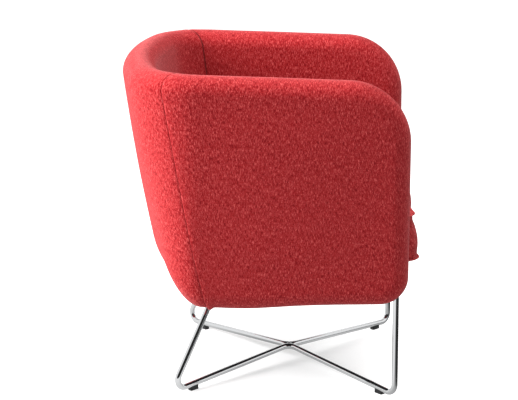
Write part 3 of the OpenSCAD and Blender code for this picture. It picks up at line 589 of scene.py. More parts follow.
def depthShare(s):
    return min(max((s.y - armFrontY) / (backY - armFrontY), 0), 1)


def rimZ(s):
    return between(shell["armHeight"], shell["backHeight"], depthShare(s))


def underZ(s):
    return between(shell["undersideFront"], shell["undersideRear"], depthShare(s))


def lowerRadius(s):
    return between(halfWall, shell["backBottomRadius"], root(s.blend))


def leanIn(s, z):
    below = max(rimZ(s) - halfWall - z, 0)
    span = rimZ(s) - halfWall - underZ(s)
    upper = tangent(between(shell["armLean"], shell["backLeanTop"], s.blend))
    lower = tangent(between(shell["armLean"], shell["backLeanBottom"], s.blend))
    return below * upper + below * below / span * (lower - upper) / 2


def edgeDistance(s, z):
    top, low = shell["armTopRadius"], shell["armBottomRadius"]
    upper, lower = rimZ(s) - top, underZ(s) + low
    if s.fromFront < top and z > upper:
        return top - math.hypot(top - s.fromFront, z - upper)
    if s.fromFront < low and z < lower:
        return low - math.hypot(low - s.fromFront, lower - z)
    return min(s.fromFront, rimZ(s) - z)


def halfAt(s, z):
    d = min(max(edgeDistance(s, z), 0), halfWall)
    return root(halfWall ** 2 - (halfWall - d) ** 2)


def roundedAway(s, z):
    # How far the rounding at the bottom draws the outer face in
    if s.fromFront < shell["armBottomRadius"]:
        return 0
    lower = lowerRadius(s)
    below = max(underZ(s) + lower - z, 0)
    return lower - root(lower ** 2 - below ** 2)


def wallPoint(s, offset, z):
    o = offset - leanIn(s, z)
    return Vector((s.x + s.outX * o, s.y + s.outY * o, z))


def outerPoint(s, z):
    middle = Vector((s.x, s.y - shell["middleY"], 0)).normalized()
    inward = -Vector((s.outX, s.outY, 0)).lerp(middle, s.blend).normalized()
    return wallPoint(s, halfAt(s, z), z) + inward * roundedAway(s, z)


rows = {"top": 10, "face": 34, "low": 18}
outerRows = rows["top"] + rows["face"] + rows["low"]
innerRows = rows["top"] + rows["face"]


def cornerShare(s, radius):
    return root(radius ** 2 - (radius - s.fromFront) ** 2) / radius if s.fromFront < radius else 1


def rowZ(s, j, inner):
    # Height of a row: close together round the rim and round the bottom, even in between
    top = rimZ(s) - shell["armTopRadius"] * (1 - cornerShare(s, shell["armTopRadius"]))
    low = underZ(s) + shell["armBottomRadius"] * (1 - cornerShare(s, shell["armBottomRadius"]))
    split = max(shell["innerHem"], underZ(s) + lowerRadius(s))
    if inner and not aheadOfRail(s):
        split = shell["innerHem"]
    rim = halfWall * (top - split) / (rimZ(s) - split)
    if j <= rows["top"]:
        return top - rim * (1 - cosine(90 * j / rows["top"]))
    j -= rows["top"]
    if j <= rows["face"]:
        return between(top - rim, split, j / rows["face"])
    return low + (split - low) * (1 - sine(90 * (j - rows["face"]) / rows["low"]))


hem = {
    "belly": 7,
    "bellyY": 45,
    "bellyReach": 105,
    "rise": 110,
    "tuck": 7,
    "tuckY": 134,
    "tuckReach": 6,
    "tuckShare": 0.25,
}


def hemDrop(s, z):
    # The cloth sags a little under the arms, and a small tuck hangs beside each rear leg
    share = max(1 - (z - underZ(s)) / hem["rise"], 0)
    belly = hem["belly"] * math.exp(-((s.y - hem["bellyY"]) / hem["bellyReach"]) ** 2)
    tuck = hem["tuck"] * math.exp(-((s.y - hem["tuckY"]) / hem["tuckReach"]) ** 2)
    lowest = max(1 - (1 - share) / hem["tuckShare"], 0)
    return Vector((0, 0, -belly * share ** 2 - tuck * lowest))


crown = {
    "rise": 5,
    "fromNose": 30,
    "noseReach": 240,
    "fromCorner": 170,
    "cornerReach": 240,
    "rimReach": 110,
    "hemReach": 110,
}


def eased(share):
    share = min(max(share, 0), 1)
    return share * share * (3 - 2 * share)


def crownAt(s, turn, z):
    # The padding swells the middle of each arm's outer face
    beforeCorner = -turn if turn > 0 else cornerY - armFrontY - s.fromFront
    fromCorner = eased((beforeCorner + crown["cornerReach"] - crown["fromCorner"]) / crown["cornerReach"])
    fromNose = eased((s.fromFront - crown["fromNose"]) / crown["noseReach"])
    fromRim = eased((rimZ(s) - halfWall - z) / crown["rimReach"])
    fromHem = eased((z - underZ(s) - halfWall) / crown["hemReach"])
    return crown["rise"] * fromCorner * fromNose * fromRim * fromHem


def sectionPoint(s, m):
    z = rowZ(s, abs(m), m < 0)
    if m < 0:
        return wallPoint(s, -halfAt(s, z), z)
    turned = math.atan2(s.outY, s.outX) * (shell["cornerRadius"] + halfWall)
    swell = crownAt(s, turned, z) if s.blend < 1 else 0
    return outerPoint(s, z) + Vector((s.outX, s.outY, 0)) * swell + (1 - s.blend) * hemDrop(s, z)


def seamStation(share, start, shift, m):
    # A station part of the way from a fixed turn to the seam, and a given length short of the seam
    turn = shell["seamGuess"]
    for _ in range(shell["seamRounds"]):
        s = bendAt(turn)
        z = rowZ(s, abs(m), m < 0)
        offset = (-halfAt(s, z) if m < 0 else halfAt(s, z)) - leanIn(s, z)
        length = math.degrees(shift / (shell["cornerRadius"] + max(offset, 0)))
        turn = between(start, seamTurn(z, offset, m < 0) + length, share)
    return bendAt(turn)


def stationAt(station, m):
    return seamStation(*station, m) if len(station) == 3 else station


# Covers: sewn sheets over the foam, rolled in where two panels meet

cover = {
    "step": 7.0,
    "noseSteps": 14,
    "topStep": 6,
    "railLead": 1.5,
    "bendLead": 110,
    "seamTurn": 15,
    "seamRoll": 2.6,
    "seamDepth": 0.9,
    # Painted seam shade on the inner faces and on the outer ones
    "paintedSeamShadeInside": 1.0,
    "paintedSeamShadeOutside": 0.02,
    "seamPuff": 0.5,
    "seamPuffReach": 9,
    "seamSteps": (0, 0.3, 0.9, 1.7, 2.6, 4.5, 8.0),
    "seamSpots": 10,
    "pucker": 0.5,
    "puckerSize": 55,
    "puckerLead": 3,
    "puckerReach": 18,
    "life": 0.5,
    "lifeSize": 9,
    "lifeLead": 10,
    "lifeLift": 0.3,
}


def towardsSeam(start, sign):
    # Even steps from a fixed turn, then finer ones up to the seam itself
    length = cover["seamSteps"][-1]
    reach = math.radians(abs(start - cover["seamTurn"])) * (shell["cornerRadius"] + halfWall)
    even = [(share, start, sign * length) for share in spaced(0, 1, cover["step"] / reach)[1:]]
    return even + [(1, start, sign * e) for e in cover["seamSteps"][-2::-1]]


def armStations():
    nose = [halfWall * (1 - cosine(90 * k / cover["noseSteps"])) for k in range(cover["noseSteps"] + 1)]
    edge = shell["railSetback"] - cover["railLead"]
    straight = cornerY - armFrontY - cover["bendLead"]
    lengths = nose + [edge, shell["railSetback"]]
    lengths += spaced(shell["railSetback"], shell["armTopRadius"], cover["topStep"])[1:]
    lengths += spaced(shell["armTopRadius"], straight, cover["step"])[1:]
    start = -math.degrees(cover["bendLead"] / shell["cornerRadius"])
    return [armAt(a) for a in lengths] + towardsSeam(start, -1)


def backStations():
    half = towardsSeam(cornerTurn, 1)[::-1]
    step = math.degrees(cover["step"] / backRadius)
    half += [backAt(turn) for turn in spaced(shell["backHalfAngle"], 0, step)[:-1]]
    return half + [backAt(0)] + ["mirror"] * len(half)


def panelPoints(stations, order):
    points = []
    for s in stations:
        if s == "mirror":
            twin = points[2 * stations.index("mirror") - 2 - len(points)]
            points.append([flipped(p) for p in twin])
        else:
            points.append([sectionPoint(stationAt(s, m), m) for m in order])
    return points


def runningLengths(points):
    total = [0.0]
    for a, b in zip(points, points[1:]):
        total.append(total[-1] + (b - a).length)
    return total


def newPiece(name, data):
    piece = bpy.data.objects.new(name, data)
    bpy.context.collection.objects.link(piece)
    return piece


def gridMesh(name, points, across, along, inSheet=lambda k, j: True):
    # A sheet of quads, with its own map in metres so that the weave follows the cloth
    size = len(points[0])
    vertices = [p * mm for row in points for p in row]
    faces, corners = [], []
    for k in range(len(points) - 1):
        for j in range(size - 1):
            if inSheet(k, j):
                corner = [(k, j), (k, j + 1), (k + 1, j + 1), (k + 1, j)]
                faces.append([a * size + b for a, b in corner])
                corners += corner
    mesh = bpy.data.meshes.new(name)
    mesh.from_pydata(vertices, [], faces)
    layer = mesh.uv_layers.new(name="grain")
    for place, (k, j) in enumerate(corners):
        layer.data[place].uv = (across[k][j] * mm, along[k][j] * mm)
    return newPiece(name, mesh)


def onlySelected(piece):
    bpy.ops.object.select_all(action="DESELECT")
    piece.select_set(True)
    bpy.context.view_layer.objects.active = piece


doubled = 0.04 * mm


def editMesh(piece, *steps):
    onlySelected(piece)
    bpy.ops.object.mode_set(mode="EDIT")
    bpy.ops.mesh.select_all(action="SELECT")
    for step, settings in steps:
        step(**settings)
    bpy.ops.object.mode_set(mode="OBJECT")


def closedUp(piece):
    # Merges doubled points and drops those that no face uses
    editMesh(piece, (bpy.ops.mesh.remove_doubles, {"threshold": doubled}), (bpy.ops.mesh.delete_loose, {}))


def turnedOut(piece):
    # Turns every face outwards
    editMesh(piece, (bpy.ops.mesh.normals_make_consistent, {"inside": False}))


def applied(piece, kind, **settings):
    onlySelected(piece)
    modifier = piece.modifiers.new(kind.lower(), kind)
    for key, value in settings.items():
        setattr(modifier, key, value)
    bpy.ops.object.modifier_apply(modifier=modifier.name)


def smoothed(piece):
    onlySelected(piece)
    bpy.ops.object.shade_smooth()


def finish(piece, body, slot, surface, *replaced):
    piece.data.materials.clear()
    piece.data.materials.append(surface)
    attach(piece, body)
    if replaced:
        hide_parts(*replaced)
    return piece


def filledIn(points, count):
    # Places close together along a line of points, so many from each point to the next
    return [a.lerp(b, k / count) for a, b in zip(points, points[1:]) for k in range(count)]


def treeOf(points):
    # A search tree that finds the nearest of these points
    tree = KDTree(len(points))
    for place, point in enumerate(points):
        tree.insert(point, place)
    tree.balance()
    return tree


def seamShape(e):
    # Height of the cloth at a distance from the seam: a sunk line beside a slight puff
    roll = cover["seamRoll"]
    sunk = cover["seamDepth"] * (1 - root(1 - (1 - e / roll) ** 2)) if e < roll else 0
    puff = cover["seamPuff"] * math.exp(-((e - cover["seamPuffReach"]) / cover["seamPuffReach"]) ** 2)
    return puff * min(e / roll, 1) - sunk


def livened(piece, tree):
    # Sinks the cloth into its seams, with small puckers beside them and a slight unevenness all over
    paintedSeamShade = piece.data.attributes.new("paintedSeamShade", "FLOAT", "POINT")
    normals = [v.normal.copy() for v in piece.data.vertices]
    for v, normal in zip(piece.data.vertices, normals):
        place = v.co.copy()
        e = tree.find(place / mm)[2]
        ripple = noise.noise(place * cover["puckerSize"]) * math.exp(-e / cover["puckerReach"])
        ripple *= cover["pucker"] * min(e / cover["puckerLead"], 1)
        life = (noise.noise(place * cover["lifeSize"]) + cover["lifeLift"]) * cover["life"]
        life *= min(e / cover["lifeLead"], 1)
        v.co = place + normal * (seamShape(e) + ripple + life) * mm
        # Painted shade along each seam, strong on the inner faces and faint on the outer ones
        inside = normal.dot(Vector((place.x, place.y - shell["middleY"] * mm, 0))) < 0
        depth = cover["paintedSeamShadeInside"] if inside else cover["paintedSeamShadeOutside"]
        paintedSeamShade.data[v.index].value = depth * max(1 - e / cover["seamRoll"], 0)


def makeCover(name, stations, nosed):
    low = -outerRows if nosed else -innerRows
    order = list(range(low, outerRows + 1))
    points = panelPoints(stations, order)
    rim = order.index(0)
    middle = [row[order.index(rows["top"] + rows["face"] // 2)] for row in points]
    across = [[u] * len(order) for u in runningLengths(middle)]
    along = []
    for row in points:
        lengths = runningLengths(row)
        along.append([lengths[rim] - length for length in lengths])

    def inSheet(k, j):
        # The inner face goes on below the seat only ahead of the front rail
        after = stations[k + 1]
        return order[j] >= -innerRows or (len(after) > 3 and aheadOfRail(after))

    piece = gridMesh(name, points, across, along, inSheet)
    seam = points[-1] if nosed else points[0]
    seam = filledIn(seam[-outerRows - innerRows - 1:], cover["seamSpots"])
    closedUp(piece)
    livened(piece, treeOf(seam + [flipped(p) for p in seam]))
    return piece


def flippedCopy(piece, name):
    # The same panel for the other side
    twin = newPiece(name, piece.data.copy())
    for v in twin.data.vertices:
        v.co.x = -v.co.x
    twin.data.flip_normals()
    return twin


def finishCover(piece, node):
    applied(piece, "SOLIDIFY", thickness=shell["clothThickness"] * mm, offset=-1.0, use_even_offset=True)
    smoothed(piece)
    finish(piece, "chair", "upholstery", material["wool"], node)


armLeft = makeCover("coverArmLeft", armStations(), True)
armRight = flippedCopy(armLeft, "coverArmRight")
backPanel = makeCover("coverBack", backStations(), False)
finishCover(armLeft, "cover_arm_left")
finishCover(armRight, "cover_arm_right")
finishCover(backPanel, "cover_back")
print("covers made")


# Loose seat cushion, in millimetres

cushion = {
    "low": 316.3,
    "height": 106,
    "crown": 15,
    "crownPower": 5,
    "flange": 6,
    "frontRadius": 42,
    "bowSteps": 12,
    "turnSteps": 10,
    "wallSteps": (12, 5, 1),
    "sideRings": 12,
    "lowShares": (0.15, 0.35, 0.55, 0.75, 0.9),
    "topShares": (0.985, 0.96, 0.92, 0.86, 0.78, 0.66, 0.5, 0.32, 0.14),
    "drawnIn": 12,
    "drawnPower": 4,
    "slope": 12.0,
    "frontBulge": 10,
    "sideBulge": 1.5,
    "gap": 1.5,
    "voxel": 6,
    "shrunk": 2.5,
    "cap": 4.0,
    "frames": 20,
    "sag": 0.64,
    "seamOut": 0.8,
    "seamSpots": 8,
    "pinchReach": 17,
    "pinch": 2.2,
    "gather": 0.9,
    "gatherStep": 0.11,
    "gatherLevel": 9,
    "gatherReach": 1.6,
    # Painted shade along the sewn seams, and its reach
    "paintedSeamShade": 0.7,
    "paintedSeamShadeReach": 0.35,
    "clearBelow": 0.3,
    "clearAbove": 0.4,
    "smoothShare": 0.5,
    "smoothRounds": 3,
    "uneven": 0.8,
    "unevenSize": 14,
}
pressed = {
    "quality": 5,
    "mass": 0.4,
    "tension_stiffness": 30,
    "compression_stiffness": 30,
    "bending_stiffness": 2,
    "use_pressure": True,
    "uniform_pressure_force": 4.0,
}
cushionTop = cushion["low"] + cushion["height"]
cushionInset = halfWall + cushion["gap"] + cushion["flange"]
cushionMiddle = Vector((0, shell["middleY"], 0))


def cushionOutline():
    bow = [("bow", k / cushion["bowSteps"]) for k in range(cushion["bowSteps"])]
    front = [("front", 90 * k / cushion["turnSteps"]) for k in range(cushion["turnSteps"] + 1)]
    wall = stationsFrom(shell["armTopRadius"], *cushion["wallSteps"])
    return bow + front + [("wall", s) for s in wall]


def cushionPoint(spot, z, grow):
    kind, value = spot
    half = wallX - leanIn(armAt(shell["armTopRadius"]), z) - cushionInset
    straight = half - cushion["frontRadius"]
    lift = (z - cushion["low"]) / cushion["height"]
    front = -shell["depth"] / 2 + cushion["flange"] + cushion["slope"] * lift
    if kind == "bow":
        # The seams pull the middle of the front in, so that its corners stand out
        drawn = cushion["drawnIn"] * (1 - value ** cushion["drawnPower"])
        return Vector((straight * value, front + drawn - grow, z))
    if kind == "front":
        radius = cushion["frontRadius"]
        x = straight + (radius + grow) * sine(value)
        return Vector((x, front + radius - (radius + grow) * cosine(value), z))
    return wallPoint(value, grow - cushionInset, z)


def bulgeOf(spot):
    return cushion["sideBulge"] if spot[0] == "wall" else cushion["frontBulge"]


def cushionRing(z, grow, share=0.0):
    half = [cushionPoint(spot, z, grow + share * bulgeOf(spot)) for spot in cushionOutline()]
    return half + [flipped(p) for p in reversed(half[1:-1])]


def faceRing(z, share, rise):
    # A ring on the top or the bottom face, drawn in towards the middle
    ring = cushionRing(z, -cushion["shrunk"])
    return [cushionMiddle.lerp(p, share) + Vector((0, 0, p.z * (1 - share) + rise)) for p in ring]


def cushionRings():
    shrunk = cushion["shrunk"]
    low, high = cushion["low"] + shrunk / 2, cushionTop - shrunk / 2
    rings = [faceRing(low, share, 0) for share in cushion["lowShares"]]
    for k in range(cushion["sideRings"] + 1):
        v = k / cushion["sideRings"]
        rings.append(cushionRing(between(low, high, v), -shrunk, sine(180 * v ** cushion["sag"])))
    for share in cushion["topShares"]:
        rise = (cushion["crown"] - shrunk) * (1 - share ** cushion["crownPower"])
        rings.append(faceRing(high, share, rise))
    return rings


def ringMesh(name, rings, capped):
    # Closed loops joined into a skin, with a face across each end where it is capped
    size = len(rings[0])
    vertices = [p * mm for ring in rings for p in ring]
    faces = []
    for k in range(len(rings) - 1):
        for j in range(size):
            after = (j + 1) % size
            faces.append([k * size + j, k * size + after, (k + 1) * size + after, (k + 1) * size + j])
    if capped:
        faces.append([size - 1 - j for j in range(size)])
        faces.append([(len(rings) - 1) * size + j for j in range(size)])
    mesh = bpy.data.meshes.new(name)
    mesh.from_pydata(vertices, [], faces)
    return newPiece(name, mesh)


def mappedByFacing(piece):
    # Cloth map in metres, laid flat on whichever way each face looks
    mesh = piece.data
    layer = mesh.uv_layers.get("grain") or mesh.uv_layers.new(name="grain")
    for face in mesh.polygons:
        n = [abs(c) for c in face.normal]
        for place in face.loop_indices:
            co = mesh.vertices[mesh.loops[place].vertex_index].co
            if n[2] >= max(n[0], n[1]):
                layer.data[place].uv = (co.x, co.y)
            elif n[0] >= n[1]:
                layer.data[place].uv = (co.y, co.z)
            else:
                layer.data[place].uv = (co.x, co.z)


def puffedUp(piece):
    # Cloth swells under pressure. No point may move further than the cap.
    scene = bpy.context.scene
    start = [v.co.copy() for v in piece.data.vertices]
    cloth = piece.modifiers.new("cloth", "CLOTH")
    for key, value in pressed.items():
        setattr(cloth.settings, key, value)
    cloth.settings.effector_weights.gravity = 0
    cloth.point_cache.frame_start = 1
    cloth.point_cache.frame_end = cushion["frames"]
    for f in range(1, cushion["frames"] + 1):
        scene.frame_set(f)
    swollen = piece.evaluated_get(bpy.context.evaluated_depsgraph_get()).to_mesh()
    moved = [v.co.copy() for v in swollen.vertices]
    piece.modifiers.remove(cloth)
    scene.frame_set(1)
    cap = cushion["cap"] * mm
    for v, a, b in zip(piece.data.vertices, start, moved):
        way = b - a
        v.co = a + (way if way.length <= cap else way.normalized() * cap)


def pinched(piece):
    # Draws the skin out to a sharp edge along both sewn seams, with fine gathers that run into them
    spots = []
    for z in (cushionTop, cushion["low"]):
        ring = cushionRing(z, cushion["seamOut"])
        spots += [spot * mm for spot in filledIn(ring + ring[:1], cushion["seamSpots"])]
    tree = treeOf(spots)
    reach = cushion["pinchReach"] * mm
    paintedSeamShade = piece.data.attributes.new("paintedSeamShade", "FLOAT", "POINT")
    normals = [v.normal.copy() for v in piece.data.vertices]
    for v, normal in zip(piece.data.vertices, normals):
        spot, place, away = tree.find(v.co)
        gather = noise.noise(Vector((place * cushion["gatherStep"], 0, spot.z * cushion["gatherLevel"])))
        gather *= math.exp(-away / (cushion["gatherReach"] * reach))
        v.co += normal * gather * cushion["gather"] * mm
        if away < reach:
            v.co = v.co.lerp(spot, 1 - (away / reach) ** cushion["pinch"])
            # Painted shade close to the sewn seam
            depth = 1 - away / (cushion["paintedSeamShadeReach"] * reach)
            paintedSeamShade.data[v.index].value = cushion["paintedSeamShade"] * max(depth, 0)


def heldIn(piece):
    # Keeps the swollen cushion clear of the deck and within its own height
    low = (cushion["low"] + cushion["clearBelow"]) * mm
    high = (cushionTop + cushion["crown"] - cushion["clearAbove"]) * mm
    for v in piece.data.vertices:
        v.co.z = min(max(v.co.z, low), high)


def makeCushionPad():
    pad = ringMesh("cushionPad", cushionRings(), True)
    turnedOut(pad)
    applied(pad, "REMESH", mode="VOXEL", voxel_size=cushion["voxel"] * mm)
    puffedUp(pad)
    applied(pad, "SMOOTH", factor=cushion["smoothShare"], iterations=cushion["smoothRounds"])
    applied(pad, "SUBSURF", levels=1, render_levels=1)
    pinched(pad)
    heldIn(pad)
    for v in pad.data.vertices:
        if v.co.z > cushionTop * mm:
            v.co.z += noise.noise(v.co * cushion["unevenSize"]) * cushion["uneven"] * mm
    mappedByFacing(pad)
    smoothed(pad)
    finish(pad, "cushion", "upholstery", material["wool"],
           "cushion_top", "cushion_boxing", "cushion_bottom", "cushion_core")


flange = {
    "middle": 0.5,
    "wave": 0.7,
    "waveSize": 0.035,
    "waveFrom": 3,
    # Outline of the folded edge: how far out, and how high above its middle
    "outline": ((-13.0, -0.8), (0.4, -0.8), (1.4, -1.3), (3.6, -1.5), (5.4, -1.3), (6.0, -0.6),
                (5.6, 0.0), (6.0, 0.6), (5.4, 1.3), (3.6, 1.5), (1.4, 1.3), (0.4, 0.8), (-13.0, 0.8)),
}


def makeFlange(name, middleZ, seamZ, node):
    inner = cushionRing(seamZ, 0)
    outer = cushionRing(seamZ, 1)
    rings = []
    for p, q in zip(inner, outer):
        out = (q - p).normalized()
        wave = noise.noise(p * flange["waveSize"]) * flange["wave"]
        ring = []
        for d, h in flange["outline"]:
            reach = d - max(wave, 0) * (d > flange["waveFrom"])
            ring.append(Vector((p.x, p.y, middleZ + h + wave / 2 * (d > 0))) + out * reach)
        rings.append(ring)
    rings.append(rings[0])
    piece = ringMesh(name, rings, False)
    closedUp(piece)
    turnedOut(piece)
    applied(piece, "SUBSURF", levels=1, render_levels=1)
    mappedByFacing(piece)
    smoothed(piece)
    finish(piece, "cushion", "upholstery", material["wool"], node)


makeCushionPad()
makeFlange("sewnEdgeTop", cushionTop - flange["middle"], cushionTop, "cushion_edge_top")
makeFlange("sewnEdgeBottom", cushion["low"] + flange["middle"], cushion["low"], "cushion_edge_bottom")
print("cushion made")


# Zip along the back of the cushion's side strip

zipper = {
    "halfAngle": 14,
    "middle": 0.5,
    "turnStep": 0.5,
    # Section of the tape: share of the side strip's height, as for the middle, and how far out
    "outline": ((0.42, 0.1), (0.42, 0.7), (0.47, 0.8), (0.49, 0.5),
                (0.51, 0.5), (0.53, 0.8), (0.58, 0.7), (0.58, 0.1)),
    "teethPitch": 0.26,
    "tooth": (1.1, 1.0, 3.4),
    "toothOut": 0.75,
    "toothShift": 0.8,
    "sliderTurn": 12,
    "sliderOut": 2.6,
    # Size and place of the slider's body, its bridge and its pull
    "body": ((16, 1.2, 9.6), (0, -0.7, 0)),
    "bridge": ((7, 1.4, 3.0), (0, 0.4, 0)),
    "pull": ((13, 0.7, 5.0), (1.5, 1.05, 0)),
    "bevel": 0.4,
}


def zipPoint(turn, v, out):
    z = between(cushion["low"] + shell["clothThickness"], cushionTop - shell["clothThickness"], v)
    return wallPoint(backAt(turn), out - cushionInset + cushion["sideBulge"] * sine(180 * v), z)


def makeZipTape():
    turns = spaced(-zipper["halfAngle"], zipper["halfAngle"], zipper["turnStep"])
    rings = [[zipPoint(turn, v, out) for v, out in zipper["outline"]] for turn in turns]
    tape = ringMesh("zipTape", rings, True)
    turnedOut(tape)
    smoothed(tape)
    finish(tape, "cushion", "zip_tape", material["zipTape"], "zip_tape")


def block(size, place, turn=0):
    bpy.ops.mesh.primitive_cube_add(
        size=1, location=Vector(place) * mm, rotation=(0, 0, math.radians(-turn)), scale=Vector(size) * mm)
    bpy.ops.object.transform_apply(location=True, rotation=True, scale=True)
    return bpy.context.object


def joined(parts, name):
    onlySelected(parts[0])
    for part in parts:
        part.select_set(True)
    bpy.ops.object.join()
    made = bpy.context.object
    made.name = name
    return made


def makeZipTeeth():
    # Small blocks along the zip, in turn a little above and a little below its middle
    count = int(2 * zipper["halfAngle"] / zipper["teethPitch"])
    copies = []
    for k in range(count):
        turn = -zipper["halfAngle"] + zipper["teethPitch"] * (k + 0.5)
        place = zipPoint(turn, zipper["middle"], zipper["toothOut"])
        place.z += zipper["toothShift"] * (1 if k % 2 else -1)
        copies.append(block(zipper["tooth"], place, turn))
    finish(joined(copies, "zipTeeth"), "cushion", "zip_metal", material["zinc"])


def makeZipSlider():
    # Bevelled body with a flat pull that hangs from its bridge
    turn = zipper["sliderTurn"]
    parts = []
    for name in ("body", "bridge", "pull"):
        parts.append(block(*zipper[name]))
        applied(parts[-1], "BEVEL", width=zipper["bevel"] * mm, segments=2)
    slider = joined(parts, "zipSlider")
    slider.rotation_euler = (0, 0, math.radians(-turn))
    slider.location = zipPoint(turn, zipper["middle"], zipper["sliderOut"]) * mm
    bpy.ops.object.transform_apply(location=True, rotation=True, scale=True)
    finish(slider, "zip_slider", "zip_metal", material["zinc"], "zip_slider")


makeZipTape()
makeZipTeeth()
makeZipSlider()
print("zip made")


# Cloth on the deck, on the front rail and under the chair

rail = {
    "frontY": armFrontY + shell["railSetback"],
    "padThick": 10,
    "low": 230.2,
    "high": 315.0,
    "round": 9,
    "turnStep": 15,
    "faceSteps": 9,
    "fold": 14,
    "foldRows": (0, 4, 8, 12),
    "clear": 0.3,
    "step": 8,
    "cloth": 1.8,
    "uneven": 0.8,
    "unevenSize": (0.02, 0.03),
    "unevenLayer": 3,
    "unevenDepth": 3,
}


def railHalf():
    s = armAt(shell["railSetback"])
    return wallX - halfWall - leanIn(s, underZ(s) + halfWall) - rail["clear"]


def unevenAt(piece, x, y):
    # Slight waves in a cloth, each cloth in its own layer of the noise
    sizes = piece["unevenSize"]
    return piece["uneven"] * noise.noise(Vector((x * sizes[0], y * sizes[1], piece["unevenLayer"])))


def makeRailCover():
    # Outline from the fold on the deck, over the front and back under the rail
    front = rail["frontY"] - rail["padThick"] - shell["clothThickness"]
    back = rail["frontY"] + rail["fold"]
    r = rail["round"]
    low, high, steps = rail["low"], rail["high"], rail["faceSteps"]
    turns = spaced(0, 90, rail["turnStep"])
    outline = [(back - d, high) for d in rail["foldRows"]]
    outline += [(front + r - r * sine(t), high - r + r * cosine(t)) for t in turns]
    outline += [(front, between(high - r, low + r, k / steps)) for k in range(1, steps)]
    outline += [(front + r - r * cosine(t), low + r - r * sine(t)) for t in turns]
    outline += [(back - d, low) for d in reversed(rail["foldRows"])]
    half = railHalf()
    points = []
    for x in spaced(-half, half, rail["step"]):
        row = []
        for y, z in outline:
            sunk = abs(unevenAt(rail, x, z)) * (y < front + rail["unevenDepth"])
            row.append(Vector((x, y + sunk, z)))
        points.append(row)
    across = [[row[0].x] * len(row) for row in points]
    along = [runningLengths(row) for row in points]
    piece = gridMesh("frontRailCover", points, across, along)
    piece.data.flip_normals()
    applied(piece, "SOLIDIFY", thickness=rail["cloth"] * mm, offset=-1.0)
    smoothed(piece)
    finish(piece, "chair", "upholstery", material["wool"], "front_rail_cover")


sheet = {
    "thick": 0.9,
    "edge": 0.99,
    "wallSteps": (20, 6, 2),
}


def fanned(outline, shares, levelAt):
    # Rings from the outline in to the middle, each a share of the outline's size
    rings = []
    for share in shares:
        inward = [Vector((p.x * share, between(shell["middleY"], p.y, share), 0)) for p in outline]
        rings.append([q + Vector((0, 0, levelAt(p, share))) for p, q in zip(outline, inward)])
    return rings


def bothHalves(half):
    return half + [flipped(p) for p in reversed(half[:-1])]


def makeSheet(name, rings, node):
    piece = ringMesh(name, rings, False)
    turnedOut(piece)
    if sum(face.normal.z * face.area for face in piece.data.polygons) < 0:
        piece.data.flip_normals()
    applied(piece, "SOLIDIFY", thickness=sheet["thick"] * mm, offset=0.0)
    smoothed(piece)
    finish(piece, "chair", "deck_cloth", material["lining"], node)


deck = {
    "top": 314.1,
    "lead": 1,
    "outlineZ": 314,
    "clear": 0.8,
    "uneven": 0.5,
    "unevenSize": (0.02, 0.02),
    "unevenLayer": 1,
    "shares": (1.0, 0.985, 0.95, 0.9, 0.8, 0.65, 0.5, 0.35, 0.2, 0.02),
    "flat": (0.50, 0.43),
}


def makeDeckCloth():
    start = shell["railSetback"] + rail["fold"] + deck["lead"]
    stations = stationsFrom(start, *sheet["wallSteps"])
    outline = bothHalves([wallPoint(s, -halfWall - deck["clear"], deck["outlineZ"]) for s in stations])

    def levelAt(p, share):
        dimple = unevenAt(deck, p.x * share, p.y * share)
        return deck["top"] + dimple * (share < sheet["edge"])

    rings = fanned(outline, deck["shares"], levelAt)
    makeSheet("deckCloth", rings, "deck_cloth")


dust = {
    "inset": 4,
    "frontRise": 2.4,
    "edgeRise": 0.5,
    "hollow": 2.0,
    "uneven": 0.8,
    "unevenSize": (0.03, 0.03),
    "unevenLayer": 5,
    "shares": (1.0, 0.985, 0.95, 0.88, 0.78, 0.65, 0.5, 0.35, 0.2, 0.02),
    "flat": (0.52, 0.42),
}


def makeDustCloth():
    # Slopes as the lower hems do, and is drawn down a little in the middle
    front, rear = armAt(shell["railSetback"]), backAt(0)
    rearY = outerPoint(rear, underZ(rear)).y
    slope = (underZ(rear) - underZ(front)) / (rearY - front.y)
    stations = stationsFrom(shell["railSetback"], *sheet["wallSteps"])
    hems = bothHalves([outerPoint(s, underZ(s)) for s in stations])
    outline = [p - (Vector((p.x, p.y, 0)) - cushionMiddle).normalized() * dust["inset"] for p in hems]

    def levelAt(p, share):
        y = between(shell["middleY"], p.y, share)
        pull = unevenAt(dust, p.x * share, y) * (share < sheet["edge"])
        hollow = dust["hollow"] * (1 - share ** 2)
        return underZ(front) + dust["frontRise"] + slope * (y - front.y) + dust["edgeRise"] - hollow + pull

    rings = fanned(outline, dust["shares"], levelAt)
    makeSheet("dustCloth", rings, "dust_cloth")


makeRailCover()
makeDeckCloth()
makeDustCloth()
print("deck, rail and dust cloth made")


# Bent chromed rods, in millimetres

base = {
    "rod": 14,
    "footX": 275,
    "footFrontY": -292,
    "footRearY": 224,
    "footZ": 9.5,
    "apexZ": 35,
    "apexY": -44,
    "footBend": 22,
    "apexBend": 20,
    "apexGap": 0.4,
    "frontSlope": 0.05,
    "rearSlope": 0.45,
    "legTop": 246,
    "bendSteps": 20,
    "rodSides": 8,
}


def footPoint(side, y):
    return Vector((side * base["footX"], y, base["footZ"]))


def legTop(side, front):
    rise = base["legTop"] - base["footZ"]
    if front:
        return footPoint(side, base["footFrontY"]) + Vector((-side * base["frontSlope"], 0, 1)) * rise
    slope = base["rearSlope"]
    return footPoint(side, base["footRearY"]) + Vector((-side * slope, -slope, 1)) * rise


def apexPoint(side):
    middle = Vector((0, base["apexY"], base["apexZ"]))
    turn = (middle - footPoint(1, base["footFrontY"])).angle(footPoint(1, base["footRearY"]) - middle)
    spare = base["apexBend"] * (1 / math.cos(turn / 2) - 1)
    return Vector((side * (base["rod"] / 2 + base["apexGap"] - spare), base["apexY"], base["apexZ"]))


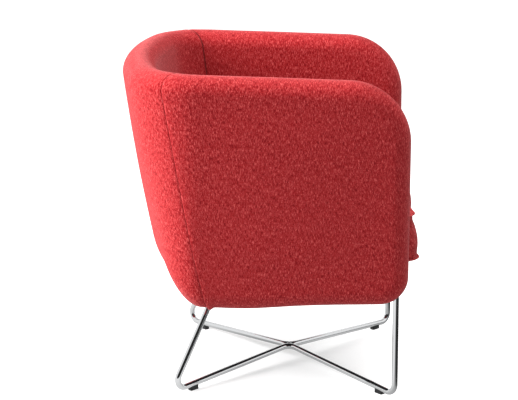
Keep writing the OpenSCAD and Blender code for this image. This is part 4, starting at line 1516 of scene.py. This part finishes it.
def bentLine(points, radii):
    line = [points[0]]
    for before, corner, after, r in zip(points, points[1:], points[2:], radii):
        u = (corner - before).normalized()
        v = (after - corner).normalized()
        turn = u.angle(v)
        centre = corner + (v - u).normalized() * r / math.cos(turn / 2)
        out = (corner - u * r * math.tan(turn / 2) - centre).normalized()
        for k in range(base["bendSteps"] + 1):
            t = turn * k / base["bendSteps"]
            line.append(centre + (out * math.cos(t) + u * math.sin(t)) * r)
    return line + [points[-1]]


def makeRod(name, side, node):
    points = [legTop(side, True), footPoint(side, base["footFrontY"]), apexPoint(side),
              footPoint(side, base["footRearY"]), legTop(side, False)]
    line = bentLine(points, (base["footBend"], base["apexBend"], base["footBend"]))
    curve = bpy.data.curves.new(name, "CURVE")
    curve.dimensions = "3D"
    curve.bevel_depth = base["rod"] / 2 * mm
    curve.bevel_resolution = base["rodSides"]
    curve.use_fill_caps = True
    spline = curve.splines.new("POLY")
    spline.points.add(len(line) - 1)
    for point, place in zip(spline.points, line):
        point.co = (*(place * mm), 1)
    onlySelected(newPiece(name, curve))
    bpy.ops.object.convert(target="MESH")
    piece = bpy.context.object
    turnedOut(piece)
    smoothed(piece)
    finish(piece, "chair", "rod", material["chrome"], node)


makeRod("rodRight", -1, "rod_right")
makeRod("rodLeft", 1, "rod_left")
print("rods made")


# Finishes of the pieces that keep the frame's own shape

nodeFinish = {
    "weld": ("rod_weld",),
    "glide": ("glide",),
    "steel": ("leg_plate",),
    "zinc": ("base_bolts", "tee_nuts", "frame_screws"),
    "plywood": ("side_board", "back_board"),
    "timber": ("front_rail", "rear_rail", "side_rail", "leg_cross_rail", "corner_blocks"),
    "webbing": ("straps",),
    "foam": ("deck_pad", "front_rail_pad", "foam"),
}


def finishNodes():
    # The longest start of a shown node's name says which finish it has
    finishOf = {start: slot for slot, starts in nodeFinish.items() for start in starts}
    for name, piece in cadNode.items():
        if not piece.hide_render:
            best = max((start for start in finishOf if name.startswith(start)), key=len)
            piece.data.materials.clear()
            piece.data.materials.append(material[finishOf[best]])


finishNodes()
print("finishes given")

bpy.ops.object.select_all(action="DESELECT")
print("done")
